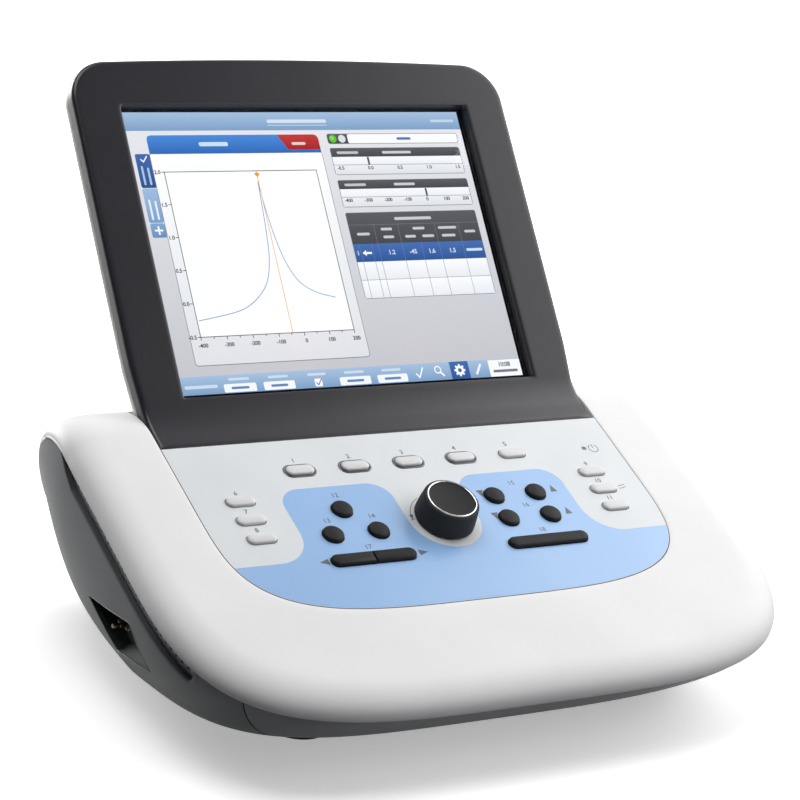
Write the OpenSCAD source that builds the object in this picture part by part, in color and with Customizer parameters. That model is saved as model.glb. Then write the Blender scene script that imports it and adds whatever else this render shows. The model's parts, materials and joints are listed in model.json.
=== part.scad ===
// Table-top tympanometer: a wedge-shaped white housing with dark side covers,
// a fixed colour display that leans back behind a sloping keypad, and one pressure knob.
// Frame: X to the right, Y to the rear, Z up, origin under the middle of the bounding box.

/* [Body] */
// Width between the creases under the white edge
body_w = 415.4; // [395:0.2:440]
// Slope of the deck
deck_slope = 21; // [18:0.5:24]
// Deck length from the bezel seam to the front crease
deck_front = 216.9; // [205:0.2:235]
// Length over which the nose is rounded in plan
nose_len = 150.9; // [140:0.2:160]
// Squareness of the nose outline
nose_power = 3.9; // [3.2:0.1:4.4]
// Height of the white edge above the crease
edge_drop = 12.8; // [11:0.2:15]
// How far the white edge swells past the crease
edge_bulge = 1.5; // [0.5:0.1:2.5]
// Width of the rounding along the deck edge
edge_round = 19; // [14:0.5:24]
// Radius of the roll from the deck to the back
roll_r = 58.3; // [50:0.1:66]
// Distance from the bezel seam back to the start of the roll
roll_start = 12; // [10:0.5:16]
// Height of the bezel seam above the underside
seam_h = 126; // [120:0.5:140]
// Height of the feet
foot_h = 5; // [3:0.5:8]
// Wall of the moulded covers
skin = 3; // [2.4:0.1:3.6]
// Gap between neighbouring covers
cover_gap = 0.4; // [0.3:0.05:0.6]
// How far the underside is drawn in at the sides
side_inset = 68.6; // [55:0.1:75]
// How far the underside is drawn in at the nose
nose_inset = 54.2; // [45:0.1:60]

/* [Screen] */
// Lean of the screen above the deck plane
screen_rise = 29.2; // [26:0.1:32]
// Width of the display window
window_w = 252; // [240:0.5:256]
// Height of the display window
window_h = 191.9; // [185:0.1:196]
// Frame beside the window
frame_side = 30.9; // [29:0.1:34]
// Frame above the window
frame_top = 32.7; // [30:0.1:40]
// Radius of the sweep from the deck to the screen
sweep_r = 47; // [42:0.5:52]
// Depth of the dark frame
frame_depth = 8.5; // [8:0.1:10]
// Thickness of the frame's front wall
frame_wall = 2.9; // [2.4:0.1:3.2]
// Depth of the window glass below the frame face
glass_depth = 6.2; // [5:0.1:7]
// Depth of the domed back of the screen
back_depth = 33; // [31:0.5:37]

/* [Control panel] */
// Half width of the control panel recess
recess_half_w = 155.4; // [150:0.2:160]
// Length of the control panel recess
recess_len = 145.2; // [140:0.2:155]
// Thickness of the control panel
panel_t = 3.3; // [2.8:0.1:3.5]
// Gap round the control panel
panel_gap = 0.5; // [0.3:0.1:0.8]
// Length of a pill key
pill_len = 19.6; // [18:0.2:21]
// Width of a pill key
pill_w = 8.2; // [7:0.2:9]
// Diameter of a round key
round_d = 14; // [12:0.2:16]
// Width of a bar key
bar_w = 8.8; // [8:0.2:10]
// Length of the start bar and of the present bar
bar_len = 57.4; // [50:0.2:62]
// Gap between a key and its hole
key_gap = 0.45; // [0.35:0.05:0.6]
// Travel of every key
key_travel = 1.2; // [0.6:0.1:1.3]
// Pitch of the upper key row
row_pitch = 37.8; // [34:0.2:40]
// Pitch of the key columns at the sides
column_pitch = 15.7; // [14:0.1:17]
// Half distance between the key columns at the sides
column_half = 124.3; // [118:0.2:130]

/* [Knob] */
// Diameter of the knob at the panel
knob_d = 37.6; // [32:0.2:40]
// Height of the knob
knob_h = 16.4; // [14:0.2:20]
// Distance of the knob from the bezel seam
knob_v = 77.6; // [74:0.2:80]

/* [Inside] */
// Diameter of the knob shaft
shaft_d = 6; // [5:0.5:7]
// Running clearance of the knob shaft in its bush, on the radius
shaft_clear = 0.06; // [0.04:0.01:0.1]
// Number of air holes in each vent strip
vent_count = 30; // [20:1:30]
// Pitch of the air holes
vent_pitch = 5.3; // [4.6:0.1:5.4]
// Side of a square air hole
vent_hole = 2.4; // [1.6:0.1:2.8]

/* [Hidden] */
$fn = 48;

white = "whitesmoke";
dark = [0.25, 0.27, 0.29];
charcoal = [0.2, 0.2, 0.21];
black = [0.1, 0.1, 0.11];
pale = [0.86, 0.88, 0.89];
metal = [0.7, 0.7, 0.7];

// Places of the main frames
half_w = body_w / 2;
under_z = foot_h;
seam_z = foot_h + seam_h;
nose_v = deck_front - nose_len;
roll_turn = (90 + deck_slope) * PI / 180 * roll_r;
roll_end = roll_start + roll_turn;
roll_y = roll_start * cos(deck_slope) + roll_r * sin(deck_slope);
roll_z = roll_start * sin(deck_slope) - roll_r * cos(deck_slope);
screen_slope = deck_slope + screen_rise;
// The sweep meets the deck and the screen plane one tangent length from their crossing
sweep_tangent = sweep_r * tan(screen_rise / 2);
sweep_cross = 25;
sweep_len = sweep_r * screen_rise * PI / 180;
sweep_start = sweep_cross - sweep_tangent;
window_above_cross = 13;
window_s = sweep_start + sweep_len + window_above_cross - sweep_tangent;
bezel_half_w = window_w / 2 + frame_side;
bezel_foot_half_w = recess_half_w - panel_gap;
bezel_top = window_s + window_h + frame_top;
bezel_bow = 3.4;
bezel_corner_r = 27;

// Middle of the bounding box along Y: the nose in front, the screen's back edge behind
edge_tuck = edge_drop - 1.5;
nose_y = -(deck_front - edge_round) * cos(deck_slope) + edge_tuck * sin(deck_slope)
    - norm([(edge_round + edge_bulge) * cos(deck_slope), edge_tuck * sin(deck_slope)]);
screen_top_y = sweep_cross * cos(deck_slope)
    + (bezel_top - sweep_start - sweep_len + sweep_tangent) * cos(screen_slope);
back_wall_end = 13.5;
back_edge_y = screen_top_y + back_wall_end * sin(screen_slope) + 0.4;
seam_y = -(nose_y + back_edge_y) / 2;

function unit(a) = a / max(norm(a), 1e-9);
function lerp(a, b, t) = a + (b - a) * t;
function clamp(a, lo, hi) = max(lo, min(hi, a));
function spow(a, p) = sign(a) * pow(abs(a), p);

// Point of the deck frame: x right, v along the deck to the front, h above the deck
function deck_pt(x, v, h) = [x,
    seam_y - v * cos(deck_slope) - h * sin(deck_slope),
    seam_z - v * sin(deck_slope) + h * cos(deck_slope)];

// The deck carried on over the rear roll and straight down the back
function roll_pt(x, v, h) =
    v >= -roll_start ? deck_pt(x, v, h)
    : -v < roll_end
    ? let (b = (-v - roll_start) / roll_r * 180 / PI - deck_slope)
        [x, seam_y + roll_y + (roll_r + h) * sin(b), seam_z + roll_z + (roll_r + h) * cos(b)]
    : [x, seam_y + roll_y + roll_r + h, seam_z + roll_z + v + roll_end];

// Point of the bezel sheet: w runs from the seam up the sweep and the screen
function bezel_pt(x, w, h) =
    w <= sweep_start ? deck_pt(x, -w, h)
    : w < sweep_start + sweep_len
    ? let (a = (w - sweep_start) / sweep_r * 180 / PI, r = sweep_r - h)
        deck_pt(x, -sweep_start - r * sin(a), sweep_r - r * cos(a))
    : let (s = w - sweep_start - sweep_len + sweep_tangent, c = cos(screen_rise), n = sin(screen_rise))
        deck_pt(x, -sweep_cross - s * c + h * n, s * n + h * c);

// Point of a superellipse with half axes p and q at the parameter u
function super_pt(u, p, q, n) = [p * sign(cos(u)) * pow(abs(cos(u)), 2 / n), q * pow(abs(sin(u)), 2 / n)];

// Half width of the deck at v, drawn in a little over the roll
rear_narrow = 17;
function side_x(v) = half_w - rear_narrow * pow(clamp((-10 - v) / 115, 0, 1), 2);

// Edge rounding: width and swell at v, and drop at the distance d inside the crease
rear_round = 12;
rear_draw = 1;
function rear_part(v) = clamp(-v / 60, 0, 1);
function round_w(v) = edge_round + rear_round * rear_part(v);
function swell_w(v) = round_w(v) + lerp(edge_bulge, -rear_draw, rear_part(v));
function edge_h(d, v) = d >= round_w(v) ? 0
    : -edge_tuck * (1 - sqrt(max(0, 1 - pow((round_w(v) - d) / swell_w(v), 2))));
function edge_d(t, v) = round_w(v) - swell_w(v) * cos(t);

// Closed solid from rings of points: each ring joins the next, and the last joins the first
module ring_solid(rings) {
    n = len(rings[0]);
    m = len(rings);
    polyhedron(
        points = [for (r = rings) for (p = r) p],
        faces = [for (j = [0:m - 1]) for (i = [0:n - 1]) for (k = [0, 1])
            let (a = j * n + i, b = j * n + (i + 1) % n,
                c = ((j + 1) % m) * n + (i + 1) % n, d = ((j + 1) % m) * n + i)
            k == 0 ? [a, c, b] : [a, d, c]],
        convexity = 6);
}

// Closed solid from rings of points, with a fan over the first and the last ring
module capped_solid(rings) {
    n = len(rings[0]);
    m = len(rings);
    first = [for (r = [rings[0]]) for (k = [0:2]) let (s = [for (p = r) p[k]]) s * [for (p = r) 1] / n];
    last = [for (r = [rings[m - 1]]) for (k = [0:2]) let (s = [for (p = r) p[k]]) s * [for (p = r) 1] / n];
    polyhedron(
        points = concat([for (r = rings) for (p = r) p], [first, last]),
        faces = concat(
            [for (j = [0:m - 2]) for (i = [0:n - 1]) for (k = [0, 1])
                let (a = j * n + i, b = j * n + (i + 1) % n, c = (j + 1) * n + (i + 1) % n, d = (j + 1) * n + i)
                k == 0 ? [a, c, b] : [a, d, c]],
            [for (i = [0:n - 1]) [n * m, i, (i + 1) % n]],
            [for (i = [0:n - 1]) [n * m + 1, (m - 1) * n + (i + 1) % n, (m - 1) * n + i]]),
        convexity = 6);
}

// Unit normal of a grid of points at column i and row j
function grid_normal(g, i, j) =
    let (ni = len(g) - 1, nj = len(g[0]) - 1)
    unit(cross(g[min(i + 1, ni)][j] - g[max(i - 1, 0)][j], g[i][min(j + 1, nj)] - g[i][max(j - 1, 0)]));

// Moulded wall of thickness t behind a grid of points
module wall(g, t) {
    ni = len(g);
    nj = len(g[0]);
    n = ni * nj;
    inner = [for (i = [0:ni - 1]) [for (j = [0:nj - 1]) g[i][j] - t * grid_normal(g, i, j)]];
    edge = concat([for (i = [0:ni - 1]) i * nj], [for (j = [1:nj - 1]) (ni - 1) * nj + j],
        [for (i = [ni - 2:-1:0]) i * nj + nj - 1], [for (j = [nj - 2:-1:1]) j]);
    m = len(edge);
    polyhedron(
        points = concat([for (c = g) for (p = c) p], [for (c = inner) for (p = c) p]),
        faces = concat(
            [for (i = [0:ni - 2]) for (j = [0:nj - 2]) for (k = [0, 1])
                let (a = i * nj + j, b = a + nj, c = b + 1, d = a + 1) k == 0 ? [a, c, b] : [a, d, c]],
            [for (i = [0:ni - 2]) for (j = [0:nj - 2]) for (k = [0, 1])
                let (a = n + i * nj + j, b = a + nj, c = b + 1, d = a + 1) k == 0 ? [a, b, c] : [a, c, d]],
            [for (i = [0:m - 1]) for (k = [0, 1])
                let (a = edge[i], b = edge[(i + 1) % m]) k == 0 ? [a, b, b + n] : [a, b + n, a + n]]),
        convexity = 6);
}

module on_deck(x = 0, v = 0, h = 0) {
    translate([0, seam_y, seam_z]) rotate([deck_slope, 0, 0]) translate([x, -v, h]) children();
}

module on_screen(x = 0, s = 0, h = 0) {
    translate(bezel_pt(0, window_s, 0)) rotate([screen_slope, 0, 0]) translate([x, s, h]) children();
}

// Outline of the deck at the distance d inside the crease, with its rear edge at v_rear
nose_angles = [for (k = [0:32]) 180 + 180 * k / 32];
side_steps = 7;
rear_fracs = [0.02, 0.06, 0.12, 0.22, 0.36, 0.5, 0.64, 0.78, 0.88, 0.94, 0.98];
function deck_ring(v_rear, d_at, h_at) = concat(
    [for (u = nose_angles) let (d = d_at(nose_v), p = super_pt(u, half_w - d, nose_len - d, nose_power))
        deck_pt(p[0], nose_v + p[1], h_at(nose_v))],
    [for (k = [1:side_steps]) let (v = lerp(nose_v, v_rear, k / side_steps))
        roll_pt(side_x(v) - d_at(v), v, h_at(v))],
    [for (f = rear_fracs) let (x = (side_x(v_rear) - d_at(v_rear)) * (1 - 2 * f))
        roll_pt(x, v_rear, edge_h(side_x(v_rear) - abs(x), v_rear))],
    [for (k = [side_steps:-1:1]) let (v = lerp(nose_v, v_rear, k / side_steps))
        roll_pt(-side_x(v) + d_at(v), v, h_at(v))]);

// Outline of the recess for the control panel and the screen foot, grown by g, at the height h
recess_v = 51.3;
recess_power = 3.8;
recess_rear = 49.5;
recess_bow = 1.5;
function recess_ring(g_at, h) = concat(
    [for (u = nose_angles) let (g = g_at(recess_v),
        p = super_pt(u, recess_half_w - g, recess_len - recess_v - g, recess_power))
        deck_pt(p[0], recess_v + p[1], h)],
    [for (k = [1:side_steps]) let (v = lerp(recess_v, -recess_rear, k / side_steps))
        roll_pt(recess_half_w - g_at(v), v, h)],
    [for (f = rear_fracs) let (x = (recess_half_w - g_at(-recess_rear)) * (1 - 2 * f))
        roll_pt(x, -recess_rear + g_at(-recess_rear) - recess_bow * sin(180 * f), h)],
    [for (k = [side_steps:-1:1]) let (v = lerp(recess_v, -recess_rear, k / side_steps))
        roll_pt(-recess_half_w + g_at(v), v, h)]);
function mix_ring(a, b, t) = [for (i = [0:len(a) - 1]) lerp(a[i], b[i], t)];

// The seam between the top cover and the rear cover, as a place along the roll
seam_rear = 60.2;
ledge_w = 4.5;
ledge_h = panel_t + 0.3;
ledge_t = 1.8;
module top_cover() {
    crease = deck_ring(-seam_rear, function (v) 0, function (v) -edge_drop);
    swell = [for (t = [0, 12, 28, 46, 62, 76, 90])
        deck_ring(-seam_rear + 0.6 + t * 0.03, function (v) edge_d(t, v), function (v) edge_h(edge_d(t, v), v))];
    rim = recess_ring(function (v) 0, 0);
    ledge = function (v) v > -sweep_start ? ledge_w : 0.3;
    inner = [for (t = [90, 58, 22])
        deck_ring(-seam_rear + 0.9 + t * 0.02, function (v) edge_d(t, v) + skin, function (v) edge_h(edge_d(t, v), v) - skin)];
    color(white) ring_solid(concat(
        [crease], swell, [mix_ring(swell[6], rim, 0.5), rim,
        recess_ring(function (v) 0, -ledge_h), recess_ring(ledge, -ledge_h),
        recess_ring(ledge, -ledge_h - ledge_t), recess_ring(function (v) -0.6, -ledge_h - ledge_t)],
        inner,
        [deck_ring(-seam_rear + 0.4, function (v) skin, function (v) -edge_drop)]));
}

// Crease curve below the white edge: it carries the lower covers
function crease_x(v) = v > nose_v
    ? half_w * pow(1 - pow((v - nose_v) / nose_len, nose_power), 1 / nose_power) : side_x(v);
function crease_side(v) = roll_pt(-crease_x(v), v, -edge_drop);
function crease_nose(u) = let (p = super_pt(u, half_w, nose_len, nose_power))
    deck_pt(p[0], nose_v + p[1], -edge_drop);

// Lower body below a crease point p: t is 0 at the crease and 1 at the underside.
// It is full at the sides and nearly straight at the nose and at the rear.
belly_power = 2.87;
belly_nose_power = 1.09;
belly_rear_power = 1.25;
belly_y = deck_pt(0, nose_v, -edge_drop)[1];
belly_front_y = deck_pt(0, deck_front, -edge_drop)[1];
belly_rear_y = seam_y + roll_y + roll_r - edge_drop;
function nose_part(p) = clamp((belly_y - p[1]) / (belly_y - belly_front_y), 0, 1);
function tail_part(p) = clamp((p[1] - belly_y) / (belly_rear_y - belly_y), 0, 1);
function underside(p, grow_x = 0, grow_y = 0) =
    [p[0] * (1 - (side_inset - grow_x) / half_w), p[1] + (nose_inset - grow_y) * nose_part(p), under_z];
function belly(p, t) = let (q = underside(p),
    w = belly_power + (belly_nose_power - belly_power) * nose_part(p)
        + (belly_rear_power - belly_power) * pow(tail_part(p), 2),
    f = 1 - pow(1 - pow(clamp(t, 0, 1), w), 1 / w))
    [lerp(p[0], q[0], f), lerp(p[1], q[1], f), lerp(p[2], under_z, t)];

// Side cover: its upper edge drops along the vent, in a wedge behind and a round end in front
skirt_angle = 221;
skirt_v = nose_v + super_pt(skirt_angle, half_w, nose_len, nose_power)[1];
vent_front = vent_pitch * (vent_count - 1) + 7;
vent_rear = -22;
vent_round = 6;
channel_w = 9;
function vent_drop(v) = v >= vent_front || v <= vent_rear ? 0
    : channel_w * min(1, -(v - vent_rear) / vent_rear)
        * sqrt(1 - pow(clamp((v - vent_front) / vent_round + 1, 0, 1), 2));
cheek_v = concat(
    [for (k = [0:3]) lerp(skirt_v - 0.3, vent_front, k / 4)],
    [for (d = [0, 1, 3, vent_round]) vent_front - d],
    [for (k = [1:5]) lerp(vent_front - vent_round, nose_v, pow(k / 5, 0.9))],
    [for (k = [1:4]) lerp(nose_v, 0, k / 4)], [vent_rear / 2],
    [for (k = [0:10]) lerp(vent_rear, 0.5 - roll_end, k / 10)]);
cheek_rows = [0, 0.1, 0.22, 0.36, 0.5, 0.64, 0.76, 0.86, 0.93, 0.975, 1];
function cheek_column(v) = let (p = crease_side(v), t0 = (cover_gap + vent_drop(v)) / (p[2] - under_z))
    [for (r = cheek_rows) belly(p, lerp(t0, 1, r))];
// Everything below the white covers' edges by at least the gap given, as an endless bar along X
module under_room(gap = cover_gap / 2) {
    h = -edge_drop - gap;
    rotate([90, 0, 90]) translate([0, 0, -300]) linear_extrude(height = 600) polygon(concat(
        [for (v = concat([deck_front + 45, 0], [for (k = [0:20]) -lerp(roll_start, roll_end, k / 20)]))
            let (q = roll_pt(0, v, h)) [q[1], q[2]]],
        [[seam_y + roll_y + roll_r + h, -20], [seam_y - deck_front - 80, -20]]));
}
module side_cover() {
    intersection() {
        wall([for (v = cheek_v) cheek_column(v)], skin);
        under_room();
    }
}
module left_side_cover() {
    color(dark) difference() {
        side_cover();
        pocket_prism(0, 40);
    }
}
module right_side_cover() {
    color(dark) mirror([1, 0, 0]) side_cover();
}

// Probe pocket in the left side cover, with the probe socket on its back wall
pocket_corners = [[-21, 53], [-82, 62], [-100, 38.5], [-54, 32]];
pocket_x = -half_w + 0.7;
pocket_depth = 17;
pocket_wall = 1.6;
module pocket_prism(grow, depth) {
    translate([pocket_x - 4, seam_y, 0]) rotate([90, 0, 90]) linear_extrude(height = depth)
        offset(delta = grow) polygon(pocket_corners);
}
module probe_pocket() {
    // The mouth follows the slant of the cover
    color(charcoal) intersection() {
        difference() {
            pocket_prism(pocket_wall + 0.2, pocket_depth + 4 + pocket_wall);
            pocket_prism(0.2, pocket_depth + 4);
        }
        translate([0, seam_y + 20, 0]) rotate([90, 0, 0]) linear_extrude(height = 160)
            polygon([[pocket_x + 3, 70], [pocket_x + 16.6, 25], [pocket_x + 60, 25], [pocket_x + 60, 70]]);
    }
}
socket_y = seam_y - 49;
socket_z = 45;
module probe_socket() {
    color(metal) translate([pocket_x + pocket_depth, socket_y, socket_z]) rotate([0, -90, 0]) {
        cylinder(d = 7.5, h = 1.6);
        cylinder(d = 3.2, h = 10);
        for (y = [-5, 5]) translate([-1, y, 0]) {
            cylinder(d = 2, h = 4);
            cylinder(d = 4.4, h = 2.6);
        }
    }
}

// Vent strips: thin bars behind the dropped edge of the side covers, with a row of air holes
strip_t = 1.6;
strip_h = 11.5;
strip_in = skin + 0.3;
strip_hole_h = 4.4;
function strip_gap(v) = strip_in + 1.4 * pow(max(0, v - nose_v) / (vent_front - nose_v), 2);
strip_v = concat([for (k = [0:7]) lerp(vent_front + 4, nose_v, k / 7)], [-10]);
module vent_strip() {
    on_deck(0, 0, -edge_drop - cover_gap - strip_h) difference() {
        linear_extrude(height = strip_h) polygon(concat(
            [for (v = strip_v) [-crease_x(v) + strip_gap(v), -v]],
            [for (k = [len(strip_v) - 1:-1:0]) [-crease_x(strip_v[k]) + strip_gap(strip_v[k]) + strip_t, -strip_v[k]]]));
        for (k = [0:vent_count - 1]) translate([-half_w + 15, -vent_pitch * k, strip_h - strip_hole_h])
            cube([60, vent_hole, vent_hole], center = true);
    }
}
module left_vent_strip() {
    color(charcoal) vent_strip();
}
module right_vent_strip() {
    color(charcoal) mirror([1, 0, 0]) vent_strip();
}

// Dark strip below the white nose, between the two side covers
module front_skirt() {
    color(dark) intersection() {
        wall([for (k = [0:26]) let (p = crease_nose(lerp(540 - skirt_angle, skirt_angle, k / 26)),
            t0 = cover_gap / (p[2] - under_z)) [for (r = [0, 0.2, 0.45, 0.7, 0.9, 1]) belly(p, lerp(t0, 1, r))]], skin);
        under_room();
    }
}

// White back: carries the roll on down to the underside
function rear_half_w(v) = v > -roll_end ? side_x(v)
    : let (p = crease_side(-roll_end), fall = p[2] - under_z, t = clamp((-v - roll_end) / fall, 0, 1))
        -belly(p, t)[0];
rear_low = roll_end + seam_z + roll_z - under_z;
module rear_cover() {
    rows = concat([seam_rear + cover_gap, 70, 82, 95, 108], [for (k = [0:6]) lerp(roll_end, rear_low, k / 6)]);
    ts = [0, 15, 35, 55, 75];
    columns = concat([for (t = ts) [t, 0]], [for (f = [0, 0.35, 0.65, 1]) [90, f]], [for (k = [4:-1:0]) [ts[k], 1]]);
    color(white) difference() {
        wall([for (r = rows) concat(
            [roll_pt(rear_half_w(-r), -r, -edge_drop)],
            [for (k = [len(columns) - 1:-1:0]) let (c = columns[k], w = rear_half_w(-r), d = edge_d(c[0], -r),
                x = c[0] < 90 ? (c[1] == 0 ? -1 : 1) * (w - d) : lerp(-w + d, w - d, c[1]))
                roll_pt(x, -r, edge_h(d, -r))],
            [roll_pt(-rear_half_w(-r), -r, -edge_drop)])], skin);
        under_room(cover_gap / 4);
        translate([0, plate_y, plate_z]) cube([plate_w, 40, plate_h], center = true);
    }
}

// Connector plate in the back, with inlet, jacks and the power switch
plate_w = 190;
plate_h = 40;
plate_y = seam_y + roll_y + roll_r;
plate_z = under_z + 34;
plate_in = skin + 0.3;
inlet_w = 27;
inlet_h = 19;
inlet_x = 72;
switch_w = 14;
switch_h = 21;
switch_x = 44;
jack_d = 3.6;
jack_x = [for (k = [0:3]) -80 + k * 20];
pin_d = 2.4;
module connector_plate() {
    front = plate_y - plate_in;
    color(charcoal) difference() {
        union() {
            translate([0, front - 1.25, plate_z]) cube([plate_w + 8, 2.5, plate_h + 6], center = true);
            translate([inlet_x, front - 12, plate_z]) cube([inlet_w + 4, 22, inlet_h + 4], center = true);
            translate([switch_x, front - 10, plate_z]) cube([switch_w + 4, 18, switch_h + 4], center = true);
            for (x = jack_x) translate([x, front + 1.5, plate_z]) rotate([90, 0, 0]) cylinder(d = 9, h = 16);
        }
        translate([inlet_x, front - 8, plate_z]) cube([inlet_w, 22, inlet_h], center = true);
        translate([switch_x, front - 5, plate_z]) cube([switch_w, 22, switch_h], center = true);
        for (x = jack_x) translate([x, front + 3, plate_z]) rotate([90, 0, 0]) cylinder(d = jack_d, h = 15);
        translate([switch_x, switch_pivot_y, plate_z]) rotate([0, 90, 0])
            cylinder(d = pin_d + 0.1, h = switch_w + 2.6, center = true);
    }
    color(metal) for (x = [-7, 0, 7]) translate([inlet_x + x, front - 12, plate_z + (x == 0 ? 3 : -3)])
        cube([2, 14, 4], center = true);
}
switch_pivot_y = plate_y - plate_in - 7;
module power_switch() {
    color(black) translate([switch_x, switch_pivot_y, plate_z]) {
        rotate([0, 90, 0]) cylinder(d = pin_d, h = switch_w + 2, center = true);
        translate([-(switch_w - 1) / 2, 0, 0]) rotate([90, 0, 90]) linear_extrude(height = switch_w - 1)
            polygon([[-2.4, -2], [-2.4, 2], [3.5, 9.3], [7.5, 9.3], [8.6, 6], [6.6, 0], [8.6, -6], [7.5, -9.3],
                [3.5, -9.3]]);
    }
}

// Flat underside with its bosses and foot seats; it lies on the lower edges of the covers
foot_x = 108;
foot_front_y = seam_y - 112;
foot_rear_y = seam_y + 42;
foot_r = 19;
foot_places = [for (x = [-1, 1]) for (y = [foot_front_y, foot_rear_y]) [x * foot_x, y]];
plate_t = 3;
plate_low = under_z + skin + 0.3;
works_z = plate_low + plate_t;
rear_inner_y = seam_y + roll_y + roll_r - skin - cover_gap;
standoff_h = 8;
standoffs = [for (x = [-80, 24, 80]) for (y = [seam_y - 82, seam_y + 8]) [x, y]];
function half_under() = concat(
    [for (k = [0:18]) let (q = underside(crease_nose(270 + 90 * k / 18), 3, -1.6)) [q[0], q[1]]],
    [for (v = [40, 10, vent_rear, -60, -95]) let (q = underside(crease_side(v), skin / 3)) [-q[0], q[1]]],
    [let (q = underside(crease_side(-roll_end))) [-q[0] - skin - 0.3, belly_rear_y - 0.5],
        let (q = underside(crease_side(-roll_end))) [-q[0] - round_w(-100) * 0.6, rear_inner_y]]);
module base_plate() {
    half = half_under();
    color(dark) {
        difference() {
            union() {
                translate([0, 0, plate_low]) linear_extrude(height = plate_t) polygon(concat(half,
                    [for (k = [len(half) - 1:-1:1]) [-half[k][0], half[k][1]]]));
                for (p = foot_places) translate([p[0], p[1], under_z]) cylinder(r = foot_r - 4, h = skin + 0.3 + plate_t);
            }
            for (p = foot_places) translate([p[0], p[1], under_z - 1]) cylinder(d = 3.2, h = 20);
        }
        for (p = standoffs) translate([p[0], p[1], works_z]) cylinder(d = 8, h = standoff_h);
    }
}
module feet() {
    color(black) for (p = foot_places) translate([p[0], p[1], 0]) difference() {
        rotate_extrude($fn = 64)
            polygon([[1.8, 0], [foot_r - 1.2, 0], [foot_r, 1], [foot_r - 1, foot_h], [1.8, foot_h]]);
        translate([0, 0, -1]) cylinder(d = 8, h = 3.7);
    }
}

// Bezel outline at the distance d inside its edge: bottom, right, top with its bow, left
function bezel_x(w) = lerp(bezel_foot_half_w, bezel_half_w, clamp((w - 30) / 30, 0, 1));
bezel_bottom = [for (k = [-4:4]) k / 4];
bezel_side = [24, 34, 44, 60, 110, 170];
bezel_corner = [for (a = [0:15:90]) a];
bezel_top_fracs = [0.66, 0.33, 0, -0.33, -0.66];
function bezel_edge_w(x) = bezel_top - bezel_bow * pow(x / bezel_half_w, 2);
function bezel_corner_pt(a, d) = let (r = bezel_corner_r)
    [bezel_half_w - r + (r - d) * cos(a), bezel_edge_w(bezel_half_w - r) - r + (r - d) * sin(a)];
function bezel_plan(d) = concat(
    [for (f = bezel_bottom) [(bezel_foot_half_w - d) * f, panel_gap / 2 + d]],
    [for (w = bezel_side) [bezel_x(w) - d, w]],
    [for (a = bezel_corner) bezel_corner_pt(a, d)],
    [for (f = bezel_top_fracs) let (x = f * (bezel_half_w - bezel_corner_r)) [x, bezel_edge_w(x) - d]],
    [for (k = [6:-1:0]) let (p = bezel_corner_pt(bezel_corner[k], d)) [-p[0], p[1]]],
    [for (k = [5:-1:0]) [-bezel_x(bezel_side[k]) + d, bezel_side[k]]]);
window_corner_r = 2.5;
function window_plan(g) = let (x = window_w / 2 + g, b = window_s - g, t = window_s + window_h + g, r = window_corner_r)
    concat(
    [for (f = bezel_bottom) [x * f, b]],
    [for (w = [0.02, 0.05, 0.1, 0.2, 0.5, 0.8]) [x, lerp(b, t, w)]],
    [for (a = bezel_corner) [x - r + r * cos(a), t - r + r * sin(a)]],
    [for (f = bezel_top_fracs) [x * f, t]],
    [for (k = [6:-1:0]) let (a = bezel_corner[k]) [-x + r - r * cos(a), t - r + r * sin(a)]],
    [for (w = [0.8, 0.5, 0.2, 0.1, 0.05, 0.02]) [-x, lerp(b, t, w)]]);
function bezel_ring(plan, h_at) = [for (p = plan) bezel_pt(p[0], p[1], h_at(p[1]))];
lip_h = frame_wall + 0.35;
function frame_back(w) = -lerp(lip_h, frame_depth, clamp((w - sweep_start - 2) / 16, 0, 1));
module screen_bezel() {
    outer = bezel_plan(frame_wall);
    inner = window_plan(1);
    color(charcoal) ring_solid(concat(
        [bezel_ring(bezel_plan(0), function (w) frame_back(w)),
        bezel_ring(bezel_plan(0), function (w) -2.4),
        bezel_ring(bezel_plan(0.7), function (w) -0.7)],
        [for (t = [0, 0.2, 0.4, 0.6, 0.8, 1]) bezel_ring(mix_ring(outer, inner, t), function (w) 0)],
        [bezel_ring(window_plan(0), function (w) -1),
        bezel_ring(window_plan(0), function (w) -frame_wall)],
        [for (t = [0.75, 0.5, 0.25, 0]) bezel_ring(mix_ring(outer, inner, t), function (w) -frame_wall)],
        [bezel_ring(outer, function (w) frame_back(w))]));
}

// Domed white cover behind the screen
back_foot = -14;
back_soft = 0.6;
// Corner of the back cover at the distance d inside its edge; it keeps a small radius far in
function back_corner_pt(a, d) = let (r = max(5, bezel_corner_r - d - back_soft), g = d + back_soft)
    [bezel_half_w - g - r + r * cos(a), bezel_edge_w(bezel_half_w - bezel_corner_r) - g - r + r * sin(a)];
function back_x(w) = w < 55 ? bezel_foot_half_w - back_soft : bezel_x(w) - back_soft;
function back_side(d) = let (b = window_s + back_foot) [b + d + 8, b + d + 18, 78, 120, 170];
function back_plan(d) = concat(
    [for (f = bezel_bottom) [(back_x(0) - d) * f, window_s + back_foot + d]],
    [for (w = back_side(d)) [back_x(w - d) - d, w]],
    [for (a = bezel_corner) back_corner_pt(a, d)],
    [for (f = bezel_top_fracs) let (x = f * (bezel_half_w - bezel_corner_r - d * 0.6)) [x, bezel_edge_w(x) - d - back_soft]],
    [for (k = [6:-1:0]) let (p = back_corner_pt(bezel_corner[k], d)) [-p[0], p[1]]],
    [for (k = [4:-1:0]) let (w = back_side(d)[k]) [-back_x(w - d) + d, w]]);
function flat_pt(x, w, h) = let (s = w - sweep_start - sweep_len + sweep_tangent, c = cos(screen_rise), n = sin(screen_rise))
    deck_pt(x, -sweep_cross - s * c + h * n, s * n + h * c);
function back_swell(w) = lerp(0.45, 1, clamp((w - window_s - back_foot) / 100, 0, 1));
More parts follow.
